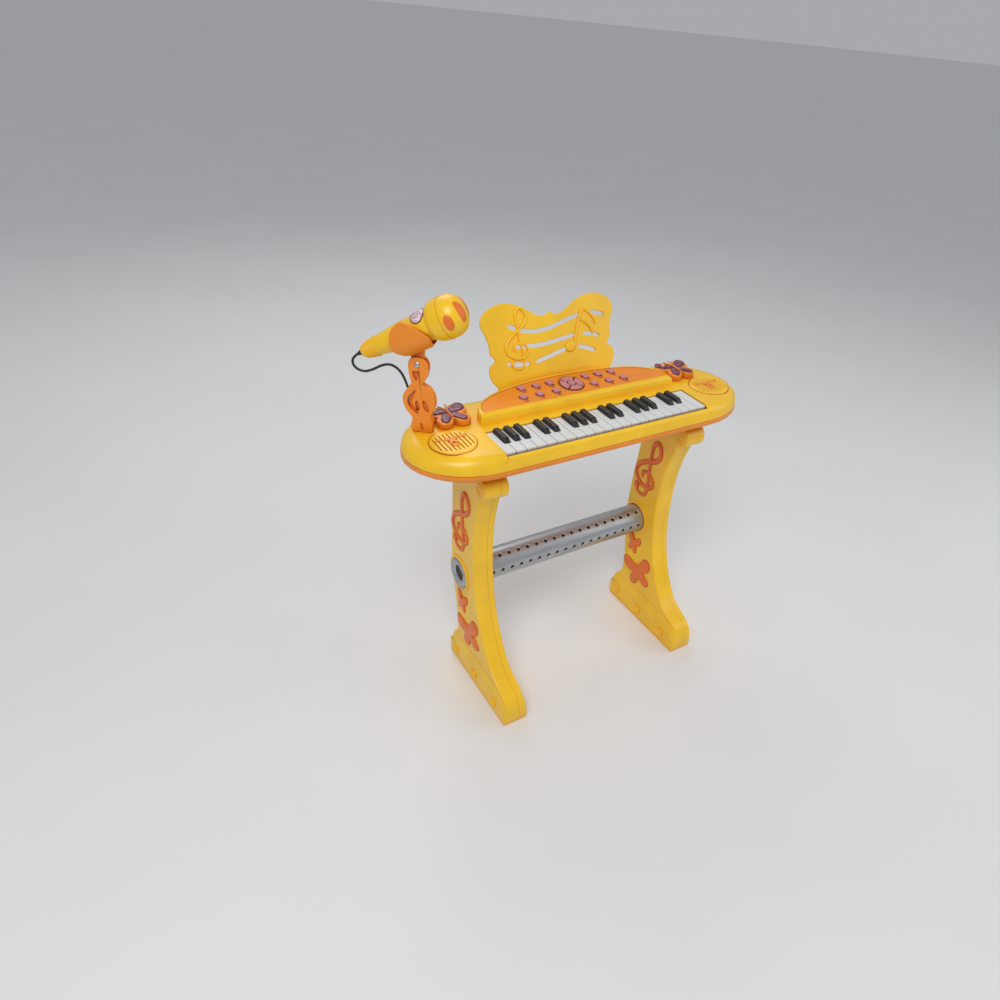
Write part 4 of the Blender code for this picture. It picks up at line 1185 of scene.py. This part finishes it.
def microphone():
    """Handle with ribs, head with a collar, and the seams of both."""
    body = bmesh.new()
    mic_turned(body, mic_profile(MIC_BODY))
    for i in range(RIBS):
        at = RIB_FIRST + RIB_PITCH * i
        r = mic_radius(at)
        mic_turned(body, [(at - 0.0010, r - 0.0006), (at - 0.0006, r + 0.0005), (at, r + 0.0009),
                          (at + 0.0006, r + 0.0006), (at + 0.0010, r - 0.0006)])
    made = emit(body, "mic_body_skin", "yellow", "microphone")
    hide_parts("mic_body")
    head = bmesh.new()
    mic_turned(head, mic_profile(MIC_HEAD))
    mic_turned(head, MIC_COLLAR)
    made = emit(head, "mic_head_skin", "yellow", "microphone")
    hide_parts("mic_head")
    seam = bmesh.new()
    for at in MIC_SEAMS:
        r = mic_radius(at)
        mic_turned(seam, [(at - 0.0003, r - 0.0004), (at - 0.0002, r + 0.00025),
                          (at + 0.0002, r + 0.00025), (at + 0.0003, r - 0.0004)])
    emit(seam, "mic_seams", "deep", "microphone")
    mic_decorations()


def mic_decorations():
    """Windows at the head's sides and tip, and the pad on the neck with its rim."""
    windows = bmesh.new()
    for i in range(2):
        turn = radians(95 + 180 * i)
        leaf = [(0.1115 + u, turn + v) for u, v in ellipse((0.0, 0.0), (0.0048, 0.40), 24)]
        pillow(windows, mic_skin, leaf, 0.0006, 0.0012)
        tip = ellipse((0.0022, 0.0090 - 0.0180 * i), (0.0110, 0.0050), 28)
        pillow(windows, mic_end, tip, 0.0006, 0.0012)
    emit(windows, "mic_windows", "deep", "microphone")
    pad = bmesh.new()
    pillow(pad, mic_skin, ellipse((PAD_AT, PAD_TURN), (0.0082, 0.62), 32), 0.0009, 0.0004)
    emit(pad, "mic_pad", "pale", "microphone")
    rim = bmesh.new()
    outline = ellipse((PAD_AT, PAD_TURN * NECK_RADIUS), (0.0084, 0.0098), 32)
    loop_ribbon(rim, mic_skin_flat, outline, 0.0005, 0.0009)
    emit(rim, "mic_pad_rim", "maroon", "microphone")


def mic_skin_flat(a, arc, out=0.0):
    """Like mic_skin, with the turn given as an arc length on the neck."""
    return mic_skin(a, arc / NECK_RADIUS, out)


def holder():
    """Post and cradle of the microphone, the webs in the post's openings, and the pin."""
    refined("mic_holder", "orange", 0.0004, 2)
    refined("mic_cradle", "orange", 0.0004, 2)
    web = bmesh.new()
    for outline in (ellipse((-0.0035, 0.4390), (0.0125, 0.0150), 24),
                    ellipse((-0.0062, 0.4698), (0.0050, 0.0056), 20)):
        skin(web, [[mic_point(s, z, q) for s, z in outline] for q in (-WEB_HALF, WEB_HALF)])
    emit(web, "holder_web", "deep", "keyboard")
    pin = bmesh.new()
    away = mic_point(0.0, 0.0, 1.0) - mic_point(0.0, 0.0)
    for way in (1, -1):
        start = mic_point(*PIN_AT) + way * away * (HOLDER_THICK / 2)
        turned(pin, start, way * away, PIN_HEAD, 24)
    emit(pin, "pin_heads", "steel", "keyboard")
    refined("cradle_pin", "steel", 0.0)


# ---------------------------------------------------------------- build

def build():
    camera()
    floor()
    lights()
    microphone_cord()
    strain_relief()
    keys()
    case()
    panel()
    buttons()
    dial()
    lamps()
    grilles()
    music_stand()
    legs()
    tube()
    microphone()
    holder()


build()
